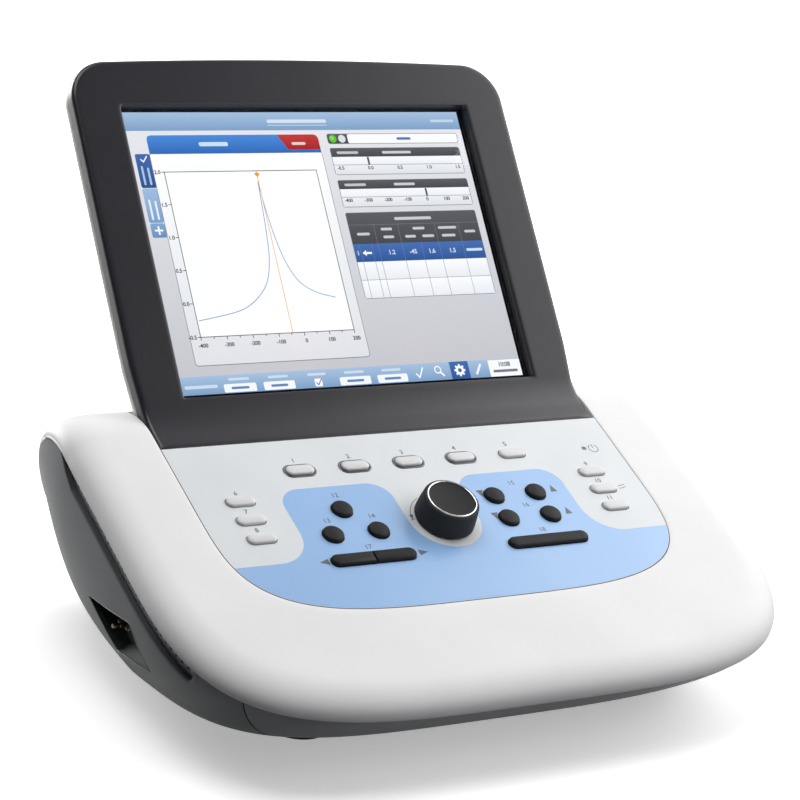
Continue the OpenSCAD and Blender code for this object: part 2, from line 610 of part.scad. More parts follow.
function back_ring(d, h, swell) = [for (p = back_plan(d)) flat_pt(p[0], p[1], -h - swell * back_swell(p[1]))];
back_rim = frame_depth + cover_gap;
dome = back_depth - back_wall_end;
dome_w = 60;
slot_w = 26;
module screen_back_cover() {
    outer = [for (t = [18, 36, 54, 72, 90]) back_ring(dome_w * (1 - cos(t)), back_wall_end, dome * pow(sin(t), 1.4))];
    inner = [for (t = [90, 63, 36]) back_ring(dome_w * (1 - cos(t)) + skin, back_wall_end, dome * pow(sin(t), 1.4) - skin)];
    color(white) difference() {
        capped_solid(concat([for (k = [4:-1:0]) outer[k]],
            [back_ring(0, back_wall_end, 0), back_ring(0, back_rim, 0), back_ring(skin, back_rim, 0)],
            [for (k = [2:-1:0]) inner[k]]));
        for (x = [-bracket_leg_x, 0, bracket_leg_x]) on_screen(x, back_foot + 1, -back_wall_end)
            cube([slot_w, 14, 9], center = true);
        for (x = [-bracket_leg_x, 0, bracket_leg_x]) on_screen(x, back_foot + 7, bracket_h)
            cube([slot_w, 26, 4.5], center = true);
    }
}

// Window parts and display, flat in the screen frame
module window_gasket() {
    color(black) on_screen(0, window_h / 2, -glass_depth) difference() {
        translate([0, 0, (glass_depth - frame_wall) / 2])
            cube([window_w + 10, window_h + 10, glass_depth - frame_wall - 0.1], center = true);
        cube([window_w, window_h, 20], center = true);
    }
}
glass_t = 1.1;
module window_glass() {
    color([0.3, 0.35, 0.4]) on_screen(0, window_h / 2, -glass_depth - glass_t / 2)
        cube([window_w + 8, window_h + 8, glass_t - 0.05], center = true);
}
lcd_t = 4.5;
lcd_top = -glass_depth - glass_t - 0.1;
module lcd_module() {
    color(metal) on_screen(0, window_h / 2, lcd_top - lcd_t / 2) difference() {
        cube([window_w + 12, window_h + 10, lcd_t], center = true);
        translate([0, 0, lcd_t / 2]) cube([window_w - 3, window_h - 3, 1.2], center = true);
    }
}
bracket_t = 1.5;
bracket_leg_x = 70;
bracket_h = lcd_top - lcd_t - 0.1 - bracket_t / 2;
bracket_low = back_foot - 4;
leg_w = 20;
bracket_w = window_w * 0.83;
bracket_len = window_h * 0.68;
bracket_bar = 30;
leg_top = (window_h - bracket_len) / 2 + 9;
module screen_bracket() {
    top = flat_pt(0, window_s + bracket_low, bracket_h);
    color(metal) {
        on_screen(0, window_h / 2, bracket_h) difference() {
            cube([bracket_w, bracket_len, bracket_t], center = true);
            cube([bracket_w - 2 * bracket_bar, bracket_len - 2 * bracket_bar, 10], center = true);
            translate([0, -bracket_len / 2 + 15, 0]) cube([cable_w + 4, 60, 10], center = true);
        }
        for (x = [-bracket_leg_x, bracket_leg_x]) {
            on_screen(x, (bracket_low + leg_top) / 2, bracket_h)
                cube([leg_w, leg_top - bracket_low, bracket_t], center = true);
            translate([x - leg_w / 2, top[1] - 1.4, works_z]) cube([leg_w, bracket_t, top[2] - works_z + 1]);
            translate([x - leg_w / 2, top[1] - 15, works_z]) cube([leg_w, 15, bracket_t]);
        }
    }
}
// Ribbon from the main board up to the display
cable_w = 22;
cable_t = 0.5;
module display_cable() {
    depth = lcd_top - lcd_t - 0.2;
    high = flat_pt(0, window_s + 70, depth);
    low = flat_pt(0, window_s + bracket_low, depth);
    back = cable_t * [sin(screen_slope), -cos(screen_slope)];
    end_y = seam_y + 14;
    end_z = board_z + 2.2;
    color([0.75, 0.72, 0.65]) translate([-cable_w / 2, 0, 0]) rotate([90, 0, 90]) linear_extrude(height = cable_w)
        polygon([[high[1], high[2]], [low[1], low[2]], [low[1], end_z + cable_t], [end_y, end_z + cable_t],
            [end_y, end_z], [low[1] + cable_t, end_z], [low[1] + cable_t, low[2] - cable_t * 0.36],
            [high[1] + back[0], high[2] + back[1]]]);
}

// Keys: stadium and disc shapes with a domed top, all exact
key_top_pts = 5;
flange_gap = 0.4;
flange_t = 1.2;
flange_out = 1.1;
function dome_profile(r, low, high, soft) = concat([[0, low], [r, low], [r, high - soft]],
    [for (k = [1:key_top_pts]) let (a = 90 * k / key_top_pts) [r - soft + soft * cos(a), high - soft + soft * sin(a)]],
    [[0, high + 0.3]]);
module stadium(len, r, low, high, soft) {
    run = (len - 2 * r) / 2;
    for (x = [-run, run]) translate([x, 0, 0]) rotate_extrude($fn = 40) polygon(dome_profile(r, low, high, soft));
    rotate([90, 0, 90]) translate([0, 0, -run]) linear_extrude(height = 2 * run) polygon(concat(
        dome_profile(r, low, high, soft),
        [for (k = [key_top_pts + 2:-1:1]) let (p = dome_profile(r, low, high, soft)[k]) [-p[0], p[1]]]));
}
flange_top = -panel_t - flange_gap;
module pill_key(x, v) {
    color(pale) on_deck(x, v) {
        stadium(pill_len, pill_w / 2, flange_top, 1.9, 1.3);
        stadium(pill_len + 2 * flange_out, pill_w / 2 + flange_out, flange_top - flange_t, flange_top, 0.2);
    }
}
module round_key(x, v) {
    color(black) on_deck(x, v) rotate_extrude($fn = 56) polygon(concat(
        [[0, flange_top - flange_t], [round_d / 2 + flange_out, flange_top - flange_t],
        [round_d / 2 + flange_out, flange_top], [round_d / 2, flange_top], [round_d / 2, 1.6]],
        [for (k = [1:5]) let (a = 90 * k / 5) [round_d / 2 - 1.6 + 1.6 * cos(a), 1.6 + 1.4 * sin(a)]],
        [[2.5, 3.3], [0, 3.4]]));
}
module bar_key(len, x, v, ends) {
    color(black) on_deck(x, v) for (part = [0, 1]) intersection() {
        stadium((part == 0 ? len : len + 2 * flange_out) + (ends == 2 ? 0 : len),
            bar_w / 2 + (part == 0 ? 0 : flange_out),
            part == 0 ? flange_top : flange_top - flange_t, part == 0 ? 2.6 : flange_top, part == 0 ? 1.6 : 0.2);
        translate([ends == 2 ? 0 : -ends * (len + 10) / 2 - ends * key_gap / 2 , 0, 0])
            cube([ends == 2 ? 200 : len + 10, 40, 40], center = true);
    }
}
row_v = 27.2;
row_x = 0.8;
left_v = 49.1;
module row_key_1() { pill_key(row_x - 2 * row_pitch, row_v); }
module row_key_2() { pill_key(row_x - row_pitch, row_v); }
module row_key_3() { pill_key(row_x, row_v); }
module row_key_4() { pill_key(row_x + row_pitch, row_v); }
module row_key_5() { pill_key(row_x + 2 * row_pitch, row_v); }
module left_key_1() { pill_key(-column_half, left_v); }
module left_key_2() { pill_key(-column_half, left_v + column_pitch); }
module left_key_3() { pill_key(-column_half, left_v + 2 * column_pitch); }
module right_key_1() { pill_key(column_half, left_v); }
module right_key_2() { pill_key(column_half, left_v + column_pitch); }
module right_key_3() { pill_key(column_half, left_v + 2 * column_pitch); }

// Round keys: a triangle of three on the left, a square of four on the right
pair_v1 = 62.8;
pair_v2 = 82.7;
trio_x = -63.1;
trio_dx = 15.4;
quad_x1 = 43.8;
quad_x2 = 74.3;
round_places = [[trio_x, pair_v1], [trio_x - trio_dx, pair_v2], [trio_x + trio_dx, pair_v2],
    [quad_x1, pair_v1], [quad_x2, pair_v1], [quad_x1, pair_v2], [quad_x2, pair_v2]];
module manual_key() { round_key(round_places[0][0], round_places[0][1]); }
module hold_key() { round_key(round_places[1][0], round_places[1][1]); }
module stop_key() { round_key(round_places[2][0], round_places[2][1]); }
module tone_down_key() { round_key(round_places[3][0], round_places[3][1]); }
module tone_up_key() { round_key(round_places[4][0], round_places[4][1]); }
module level_down_key() { round_key(round_places[5][0], round_places[5][1]); }
module level_up_key() { round_key(round_places[6][0], round_places[6][1]); }
bar_v = 104;
start_x = -61.5;
present_x = 60.7;
module start_key_left() { bar_key(bar_len / 2, start_x, bar_v, 1); }
module start_key_right() { bar_key(bar_len / 2, start_x, bar_v, -1); }
module present_key() { bar_key(bar_len, present_x, bar_v, 2); }

pill_places = concat([for (k = [-2:2]) [row_x + k * row_pitch, row_v]],
    [for (s = [-1, 1]) for (k = [0:2]) [s * column_half, left_v + k * column_pitch]]);
bar_places = [[start_x, bar_v], [present_x, bar_v]];

module stadium_cut(len, r, low, high) {
    run = (len - 2 * r) / 2;
    translate([0, 0, low]) linear_extrude(height = high - low) union() {
        for (x = [-run, run]) translate([x, 0]) circle(r = r, $fn = 40);
        square([2 * run, 2 * r], center = true);
    }
}

// Control panel: pale plate with every key hole, and the bosses that carry the key board
bush_r = 4.8;
lamp_x = recess_half_w - 24.5;
lamp_v = 27.6;
lamp_r = 1.6;
boss_places = [[-104, 30], [104, 30], [-96, 112], [96, 112], [0, 122], [-20, 48], [100, 70], [-100, 78]];
board_top = flange_top - flange_t - key_travel - 2.1;
module control_panel() {
    color(pale) on_deck() {
        difference() {
            translate([0, 0, -panel_t]) linear_extrude(height = panel_t) polygon(concat(
                [for (k = [0:48]) let (p = super_pt(180 + 180 * k / 48, recess_half_w - panel_gap,
                    recess_len - recess_v - panel_gap, recess_power)) [p[0], -recess_v - p[1]]],
                [[recess_half_w - panel_gap, -panel_gap / 2], [-recess_half_w + panel_gap, -panel_gap / 2]]));
            for (p = pill_places) translate([p[0], -p[1], 0])
                stadium_cut(pill_len + 2 * key_gap, pill_w / 2 + key_gap, -10, 5);
            for (p = round_places) translate([p[0], -p[1], -10]) cylinder(d = round_d + 2 * key_gap, h = 20);
            for (p = bar_places) translate([p[0], -p[1], 0])
                stadium_cut(bar_len + 2 * key_gap, bar_w / 2 + key_gap, -10, 5);
            translate([0, -knob_v, -10]) cylinder(r = bush_r + 0.3, h = 20);
            translate([lamp_x, -lamp_v, -10]) cylinder(r = lamp_r + 0.1, h = 20);
        }
        for (p = boss_places) translate([p[0], -p[1], board_top]) difference() {
            cylinder(d = 6, h = -board_top - panel_t + 0.5);
            translate([0, 0, -1]) cylinder(d = 2.5, h = 5);
        }
    }
}
ring_t = 0.7;
module key_rings() {
    color([0.6, 0.62, 0.63]) for (k = [-2:1]) on_deck(row_x + k * row_pitch, row_v) difference() {
        stadium_cut(pill_len + 4.8, pill_w / 2 + 1.9, 0, ring_t);
        stadium_cut(pill_len + 2 * key_gap, pill_w / 2 + key_gap, -1, 5);
    }
}
mat_t = 0.9;
board_half_w = recess_half_w - 15.4;
board_rear = 14;
board_front = recess_len - 19.2;
mat_in = 2;
mat_front = 9;
module switch_mat() {
    color([0.8, 0.8, 0.78]) on_deck() difference() {
        union() {
            translate([mat_in - board_half_w, mat_front - board_front, board_top])
                cube([2 * (board_half_w - mat_in), board_front - board_rear - mat_front - mat_in, mat_t]);
            for (p = concat(pill_places, round_places, [[start_x - 14, bar_v], [start_x + 14, bar_v], [present_x, bar_v]]))
                translate([p[0], -p[1], board_top]) cylinder(d = 6, h = mat_t + 0.9);
        }
        for (p = boss_places) translate([p[0], -p[1], board_top - 1]) cylinder(d = 8, h = 4);
        translate([0, -knob_v, board_top]) cube([20, 20, 10], center = true);
    }
}
board_t = 1.6;
module key_board() {
    color([0.1, 0.35, 0.2]) on_deck() difference() {
        translate([-board_half_w, -board_front, board_top - board_t])
            cube([2 * board_half_w, board_front - board_rear, board_t]);
        for (p = boss_places) translate([p[0], -p[1], board_top - 4]) cylinder(d = 2.9, h = 8);
    }
}
module status_lamp() {
    color("limegreen") on_deck(lamp_x, lamp_v, board_top + mat_t) {
        cylinder(r = lamp_r + 0.8, h = 2);
        cylinder(r = lamp_r, h = -board_top - mat_t - 0.3);
    }
}

// Knob: rubber grip, bright ring, dished cap, all on the encoder shaft
knob_r = knob_d / 2;
ring_r = 15.6;
cap_r = 13.4;
hub_r = 7;
knob_gap = 0.7;
module knob_grip() {
    color(black) on_deck(0, knob_v) rotate_extrude($fn = 96) polygon([
        [hub_r, knob_gap], [knob_r, knob_gap], [knob_r, 1.6], [knob_r - 1.3, knob_h - 3],
        [knob_r - 1.9, knob_h - 1.2], [knob_r - 2.8, knob_h - 0.5], [ring_r, knob_h - 0.4],
        [ring_r, knob_h - 3.2], [hub_r, knob_h - 3.2]]);
}
module knob_ring() {
    color("silver") on_deck(0, knob_v) rotate_extrude($fn = 96) polygon([
        [cap_r, knob_h - 3.1], [ring_r - 0.1, knob_h - 3.1], [ring_r - 0.1, knob_h - 0.4],
        [ring_r - 0.6, knob_h], [cap_r + 0.4, knob_h], [cap_r, knob_h - 0.4]]);
}
module knob_cap() {
    color(charcoal) on_deck(0, knob_v) rotate_extrude($fn = 96) polygon(concat(
        [[0, knob_h - 3.1], [cap_r - 0.1, knob_h - 3.1], [cap_r - 0.1, knob_h - 0.6]],
        [for (k = [1:5]) let (r = cap_r * (1 - k / 5)) [r, knob_h - 0.6 - 1.5 * (1 - pow(r / cap_r, 2))]]));
}
module knob_shaft() {
    color(metal) on_deck(0, knob_v) {
        translate([0, 0, board_top + 2]) cylinder(d = shaft_d, h = knob_h - 3.3 - board_top - 2);
        translate([0, 0, knob_gap + 4]) cylinder(r = hub_r - 0.02, h = knob_h - 3.3 - knob_gap - 4);
    }
}
module encoder() {
    color(metal) on_deck(0, knob_v) difference() {
        union() {
            translate([0, 0, (board_top - panel_t - 0.3) / 2]) cube([14, 14, -board_top - panel_t - 0.3], center = true);
            translate([0, 0, board_top + 1]) cylinder(r = bush_r, h = -board_top - 1 + 4);
        }
        translate([0, 0, board_top + 1.6]) cylinder(r = shaft_d / 2 + shaft_clear, h = 30);
    }
}

// Works on the base plate
board_z = works_z + standoff_h;
main_w = 180;
main_len = 110;
main_front = seam_y - 92;
supply_w = 48;
supply_len = 112;
supply_h = 34;
supply_wall = 1.2;
module main_board() {
    color([0.1, 0.35, 0.2]) difference() {
        translate([-main_w / 2, main_front, board_z]) cube([main_w, main_len, board_t]);
        for (p = standoffs) translate([p[0], p[1], board_z - 1]) cylinder(d = 3.2, h = 4);
    }
    color(black) {
        translate([-40, seam_y - 60, board_z + 1.6]) cube([30, 30, 3]);
        translate([20, seam_y - 64, board_z + 1.6]) cube([36, 14, 2.5]);
        translate([-76, seam_y - 40, board_z + 1.6]) cube([14, 40, 9]);
        translate([-15, seam_y + 8, board_z + 1.6]) cube([30, 8, 0.5]);
    }
    color(metal) for (k = [0:3]) translate([66, seam_y - 66 + k * 14, board_z + 1.6]) cylinder(d = 8, h = 11);
}
module power_supply() {
    color(metal) translate([98, seam_y - 60, works_z]) difference() {
        cube([supply_w, supply_len, supply_h]);
        translate([supply_wall, supply_wall, supply_wall])
            cube([supply_w - 2 * supply_wall, supply_len - 2 * supply_wall, supply_h]);
    }
    color([0.1, 0.35, 0.2]) translate([99.5, seam_y - 58, works_z + 5]) cube([supply_w - 3, supply_len - 4, board_t]);
    color([0.8, 0.7, 0.2]) translate([108, seam_y - 30, works_z + 6.6]) cube([28, 30, 22]);
    color(metal) for (x = [101, 143]) for (y = [-56, 46]) translate([x, seam_y + y, works_z + 1.2]) cylinder(d = 3, h = 3.8);
}
pump_x = -122;
pump_r = 14;
pump_z = works_z + pump_r + 3;
module air_pump() {
    color(metal) translate([pump_x, seam_y + 30, pump_z]) rotate([90, 0, 0]) {
        cylinder(r = pump_r, h = 44);
        translate([0, 0, 44]) cylinder(r = pump_r - 3, h = 14);
        translate([0, 0, 58]) cylinder(r = 3, h = 4);
        translate([6, 0, 58]) cylinder(r = 2, h = 10);
    }
    color(dark) translate([pump_x - 10, seam_y - 10, works_z]) cube([20, 36, pump_z - works_z - pump_r + 2]);
}
module pressure_manifold() {
    color([0.85, 0.85, 0.8]) {
        translate([pump_x - 10, seam_y - 62, works_z]) cube([24, 18, 22]);
        translate([pump_x + 6, seam_y - 38.4, pump_z]) rotate([90, 0, 0]) difference() {
            cylinder(r = 3.4, h = 6);
            translate([0, 0, -1]) cylinder(r = 2.05, h = 6.8);
        }
    }
    color(metal) translate([pump_x + 2, seam_y - 53, works_z + 22]) cylinder(d = 10, h = 7);
}
speaker_r = 20;
speaker_x = 37;
module speaker() {
    color(charcoal) translate([speaker_x, seam_y + 46, works_z]) {
        translate([0, 0, speaker_r + 3]) rotate([-90, 0, 0]) difference() {
            union() {
                cylinder(r = speaker_r, h = 3);
                cylinder(r1 = speaker_r - 3, r2 = 10, h = 11);
                cylinder(r = 10, h = 17);
            }
            translate([0, 0, -1]) cylinder(r1 = speaker_r - 4, r2 = 6, h = 9);
        }
        translate([-16, 0, 0]) cube([32, 3, 12]);
    }
}

// Fasteners: foot screws, board screws and the key board screws
module screws() {
    color("silver") {
        for (p = foot_places) translate([p[0], p[1], 0.6]) {
            cylinder(d = 6.5, h = 2);
            cylinder(d = 3, h = works_z - 0.8);
        }
        for (p = standoffs) translate([p[0], p[1], board_z + 1.6]) cylinder(d = 6, h = 2);
        for (p = boss_places) on_deck(p[0], p[1], board_top - board_t - 1.8) cylinder(d = 5, h = 1.8);
    }
}

top_cover();
rear_cover();
left_side_cover();
right_side_cover();
front_skirt();
base_plate();
left_vent_strip();
right_vent_strip();
probe_pocket();
probe_socket();
feet();
screen_bezel();
screen_back_cover();
window_gasket();
window_glass();
lcd_module();
screen_bracket();
display_cable();
control_panel();
key_rings();
switch_mat();
key_board();
status_lamp();
row_key_1();
row_key_2();
row_key_3();
row_key_4();
row_key_5();
left_key_1();
left_key_2();
left_key_3();
right_key_1();
right_key_2();
right_key_3();
manual_key();
hold_key();
stop_key();
tone_down_key();
tone_up_key();
level_down_key();
level_up_key();
start_key_left();
start_key_right();
present_key();
knob_grip();
knob_ring();
knob_cap();
knob_shaft();
encoder();
main_board();
power_supply();
air_pump();
pressure_manifold();
speaker();
connector_plate();
power_switch();
screws();
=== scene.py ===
"""Looks of a table-top tympanometer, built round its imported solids.

The shells, keys and knob are surfaces worked out with numpy from the same sizes as the solids.
Lengths are in millimetres until a mesh is made, X to the right, Y to the rear, Z up.
"""

from __future__ import annotations

import json
import logging
import math
from collections.abc import Callable, Sequence
from dataclasses import dataclass, field
from enum import Enum

import bmesh
import bpy
import numpy as np
from mathutils import Matrix, Vector
from numpy.typing import ArrayLike, NDArray

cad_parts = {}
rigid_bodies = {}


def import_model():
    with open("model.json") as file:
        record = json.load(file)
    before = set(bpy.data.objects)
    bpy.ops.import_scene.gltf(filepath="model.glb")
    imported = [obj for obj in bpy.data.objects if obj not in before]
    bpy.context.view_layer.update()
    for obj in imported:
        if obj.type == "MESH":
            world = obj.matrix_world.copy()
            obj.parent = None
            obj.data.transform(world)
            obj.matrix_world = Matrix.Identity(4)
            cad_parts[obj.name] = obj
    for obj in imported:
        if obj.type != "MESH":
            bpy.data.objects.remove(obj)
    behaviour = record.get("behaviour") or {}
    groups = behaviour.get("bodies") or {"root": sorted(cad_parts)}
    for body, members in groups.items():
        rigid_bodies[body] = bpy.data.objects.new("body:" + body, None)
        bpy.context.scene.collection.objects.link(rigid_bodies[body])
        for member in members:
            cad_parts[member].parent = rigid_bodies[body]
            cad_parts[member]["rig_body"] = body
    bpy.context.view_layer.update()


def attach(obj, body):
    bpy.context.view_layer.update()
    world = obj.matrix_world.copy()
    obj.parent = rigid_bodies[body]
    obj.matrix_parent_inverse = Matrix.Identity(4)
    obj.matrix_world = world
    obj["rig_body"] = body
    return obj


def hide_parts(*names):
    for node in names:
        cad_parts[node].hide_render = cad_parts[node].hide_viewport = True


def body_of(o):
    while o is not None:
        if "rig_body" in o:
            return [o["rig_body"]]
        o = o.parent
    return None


Array = NDArray[np.float64]
Faces = list[tuple[int, ...]]
Value = float | Array
Rgb = tuple[int, int, int]
Triple = tuple[float, float, float]
Shell = tuple[Array, Faces]
Place = Callable[[Array, Array, Array], Array]

MM = 0.001
MERGE = 2e-6
SHARP_ANGLE = 32.0
HOUSING = "housing"
MIX_A, MIX_B, MIX_OUT = 6, 7, 2
LOG = logging.getLogger("tympanometer")


# Colours and finishes


def linear(rgb: Rgb) -> tuple[float, float, float, float]:
    """Turns a display colour into the linear colour that a shader takes.

    Args:
        rgb: Red, green and blue from 0 to 255.

    Returns:
        Linear red, green, blue and an alpha of 1.
    """
    c = np.asarray(rgb) / 255
    low, high = c / 12.92, ((c + 0.055) / 1.055) ** 2.4
    return (*(float(v) for v in np.where(c <= 0.04045, low, high)), 1.0)


class Effect(Enum):
    """Surface effects that several materials share, each a node group."""

    MOULDED = "moulded_grain"
    BRUSHED = "brushed_lines"


class Wiring:
    """Adds nodes to one tree and joins them."""

    def __init__(self, tree: bpy.types.NodeTree) -> None:
        """Keeps the tree that the nodes go into."""
        self.tree = tree

    def add(self, kind: str, **values: object) -> bpy.types.Node:
        """Adds a node.

        Args:
            kind: Node type without the leading ShaderNode.
            **values: Input sockets by name, with spaces as underscores, or settings of the node.

        Returns:
            The new node.
        """
        node = self.tree.nodes.new(kind if kind.startswith("NodeGroup") else f"ShaderNode{kind}")
        for key, value in values.items():
            socket = node.inputs.get(key.replace("_", " "))
            if socket is not None and not hasattr(node, key):
                socket.default_value = value
            else:
                setattr(node, key, value)
        return node

    def join(self, *links: tuple[bpy.types.Node, str | int, bpy.types.Node, str | int]) -> None:
        """Joins sockets; a link is a node and its output, then a node and its input."""
        for source, output, target, entry in links:
            self.tree.links.new(source.outputs[output], target.inputs[entry])


def preset(node: bpy.types.Node, values: dict[str | int, object]) -> None:
    """Sets input sockets of a node, by name or by number."""
    for key, value in values.items():
        node.inputs[key].default_value = value


def effect_group(effect: Effect) -> bpy.types.NodeTree:
    """Makes the node group of an effect, or finds it when it is made already.

    Colour = tint mixed with shade by a wide noise; roughness = middle + spread times a fine noise;
    height = the fine noise, which the brushed effect stretches along one axis.

    Args:
        effect: The effect wanted.

    Returns:
        The node group.
    """
    known = bpy.data.node_groups.get(effect.value)
    if known is not None:
        return known
    group = bpy.data.node_groups.new(effect.value, "ShaderNodeTree")
    sockets = {"INPUT": {"Vector": "Vector", "Tint": "Color", "Shade": "Color", "Grain": "Float",
                         "Patch": "Float", "Middle": "Float", "Spread": "Float"},
               "OUTPUT": {"Color": "Color", "Roughness": "Float", "Height": "Float"}}
    for way, labels in sockets.items():
        for label, kind in labels.items():
            group.interface.new_socket(label, in_out=way, socket_type=f"NodeSocket{kind}")
    wiring = Wiring(group)
    given, out = wiring.add("NodeGroupInput"), wiring.add("NodeGroupOutput")
    mapping = wiring.add("Mapping")
    preset(mapping, {"Scale": (1.0, 1.0, 1.0) if effect is Effect.MOULDED else (0.03, 1.0, 1.0)})
    fine = wiring.add("TexNoise", Detail=3.0, Roughness=0.6)
    wide = wiring.add("TexNoise", Detail=2.0, Roughness=0.5)
    patches = wiring.add("MapRange", From_Min=0.35, From_Max=0.65)
    mix = wiring.add("Mix", data_type="RGBA")
    centre = wiring.add("Math", operation="SUBTRACT")
    preset(centre, {1: 0.5})
    rough = wiring.add("Math", operation="MULTIPLY_ADD")
    wiring.join((given, "Vector", mapping, "Vector"), (mapping, "Vector", fine, "Vector"),
                (given, "Grain", fine, "Scale"), (given, "Vector", wide, "Vector"),
                (given, "Patch", wide, "Scale"), (wide, 0, patches, "Value"), (patches, 0, mix, 0),
                (given, "Tint", mix, MIX_A), (given, "Shade", mix, MIX_B), (fine, 0, centre, 0),
                (centre, 0, rough, 0), (given, "Spread", rough, 1), (given, "Middle", rough, 2),
                (mix, MIX_OUT, out, "Color"), (rough, 0, out, "Roughness"), (fine, 0, out, "Height"))
    return group


def place_effect(wiring: Wiring, shader: bpy.types.Node, effect: Effect,
                 values: dict[str | int, object]) -> bpy.types.Node:
    """Places an effect in a material and joins its colour and roughness to the shader.

    Args:
        wiring: The material's wiring.
        shader: The material's shader.
        effect: The effect.
        values: Values of the group's inputs.

    Returns:
        The group's node.
    """
    place = wiring.add("TexCoord")
    group = wiring.add("Group", node_tree=effect_group(effect))
    preset(group, values)
    wiring.join((place, "Object", group, "Vector"), (group, "Color", shader, "Base Color"),
                (group, "Roughness", shader, "Roughness"))
    return group


@dataclass(frozen=True)
class Coating:
    """What every finish has: a name, and a material that is made once."""

    name: str

    def dress(self, material: bpy.types.Material, wiring: Wiring, shader: bpy.types.Node) -> None:
        """Sets up the nodes; each kind of finish has its own way."""
        raise NotImplementedError

    def material(self) -> bpy.types.Material:
        """Makes the material, or finds it when it is made already."""
        known = bpy.data.materials.get(self.name)
        if known is not None:
            return known
        material = bpy.data.materials.new(self.name)
        material.use_nodes = True
        self.dress(material, Wiring(material.node_tree), material.node_tree.nodes["Principled BSDF"])
        return material


@dataclass(frozen=True)
class Finish(Coating):
    """An opaque finish: moulded plastic, rubber, print or metal.

    The grain and the patches are noise scales per metre, and relief is the bump's depth in millimetres.
    """

    tint: Rgb
    shade: Rgb
    roughness: float
    spread: float = 0.08
    grain: float = 2600.0
    patch: float = 16.0
    relief: float = 0.02
    strength: float = 0.35
    metallic: float = 0.0
    coat: float = 0.0
    coat_roughness: float = 0.12
    specular: float = 0.5
    sheen: float = 0.0
    effect: Effect = Effect.MOULDED

    def dress(self, material: bpy.types.Material, wiring: Wiring, shader: bpy.types.Node) -> None:
        """Patches of shade and a fine grain, both from the effect's node group."""
        material.diffuse_color = linear(self.tint)
        preset(shader, {"Metallic": self.metallic, "Coat Weight": self.coat,
                        "Coat Roughness": self.coat_roughness, "Specular IOR Level": self.specular,
                        "Sheen Weight": self.sheen})
        group = place_effect(wiring, shader, self.effect, {
            "Tint": linear(self.tint), "Shade": linear(self.shade), "Grain": self.grain,
            "Patch": self.patch, "Middle": self.roughness, "Spread": self.spread})
        bump = wiring.add("Bump", Strength=self.strength, Distance=self.relief * MM)
        wiring.join((group, "Height", bump, "Height"), (bump, "Normal", shader, "Normal"))


@dataclass(frozen=True)
class ClearFinish(Coating):
    """Clear window glass with faint smudges in its gloss."""

    tint: Rgb
    shade: Rgb
    refraction: float = 1.18
    smudge: float = 90.0
    patch: float = 12.0
    roughness: float = 0.02

    def dress(self, material: bpy.types.Material, wiring: Wiring, shader: bpy.types.Node) -> None:
        """Full transmission, tinted and smudged by the effect's node group."""
        preset(shader, {"Transmission Weight": 1.0, "IOR": self.refraction})
        place_effect(wiring, shader, Effect.MOULDED, {
            "Tint": linear(self.tint), "Shade": linear(self.shade), "Grain": self.smudge,
            "Patch": self.patch, "Middle": self.roughness, "Spread": self.roughness})


@dataclass(frozen=True)
class LitFinish(Coating):
    """A lit picture whose colours come from the mesh attribute tint, with a faint noise at the pixel pitch.
    """

    pitch: float = 0.24
    power: float = 1.1

    def dress(self, material: bpy.types.Material, wiring: Wiring, shader: bpy.types.Node) -> None:
        """Emission of the attribute's colour, which a fine noise varies by a few percent."""
        preset(shader, {"Base Color": (0.004, 0.004, 0.005, 1), "Roughness": 0.5,
                        "Specular IOR Level": 0.05, "Emission Strength": self.power})
        tint = wiring.add("Attribute", attribute_name="tint")
        place = wiring.add("TexCoord")
        noise = wiring.add("TexNoise", Scale=1 / (self.pitch * MM), Detail=0.0)
        level = wiring.add("MapRange", To_Min=0.95, To_Max=1.02)
        mix = wiring.add("Mix", data_type="RGBA", blend_type="MULTIPLY")
        preset(mix, {0: 1.0})
        wiring.join((place, "Object", noise, "Vector"), (noise, 0, level, "Value"),
                    (tint, "Color", mix, MIX_A), (level, 0, mix, MIX_B),
                    (mix, MIX_OUT, shader, "Emission Color"))


WHITE = Finish("white_moulding", (240, 239, 240), (236, 235, 236), 0.55, relief=0.008)
BACK_WHITE = Finish("warm_white_moulding", (228, 227, 222), (222, 221, 216), 0.45, relief=0.01)
SLATE = Finish("slate_moulding", (73, 77, 79), (65, 69, 71), 0.42, spread=0.1, specular=0.35)
# The skirt is the side covers' slate drawn lighter, as if lit from the floor below: painted light.
SKIRT_PAINTED_LIGHT = Finish("slate_skirt_painted_light", (120, 124, 128), (112, 116, 120), 0.42, spread=0.1, specular=0.35)
LINING = Finish("pocket_lining", (54, 57, 59), (47, 50, 52), 0.6, specular=0.3)
# A pale tube round the pocket's mouth stands for the light lines along its rim: painted highlight.
PAINTED_RIM_HIGHLIGHT = Finish("painted_highlight_line", (168, 176, 180), (156, 164, 168), 0.35, relief=0.004)
# The vent strips are drawn much lighter than the slate so that the groove floor, shaded by the white edge
# above, reads mid grey: painted light.
VENT_PAINTED_LIGHT = Finish("vent_grey_painted_light", (184, 190, 194), (174, 180, 184), 0.45)
CHARCOAL = Finish("charcoal_bezel", (31, 30, 38), (27, 26, 34), 0.36, spread=0.12, grain=1700, relief=0.03)
BLACK = Finish("black_plastic", (24, 24, 26), (19, 19, 21), 0.5)
PANEL = Finish("panel_film", (225, 229, 231), (220, 224, 227), 0.4, grain=3200, relief=0.006)
BLUE = Finish("blue_print", (148, 188, 235), (143, 184, 232), 0.36, grain=3200, relief=0.006, specular=0.9)
INK = Finish("grey_ink", (104, 108, 116), (94, 98, 106), 0.5, relief=0.003)
KEY_GREY = Finish("grey_key_plastic", (226, 226, 227), (219, 219, 220), 0.36, relief=0.01)
RUBBER = Finish("black_key_rubber", (19, 19, 22), (15, 15, 17), 0.5, spread=0.12, specular=0.25)
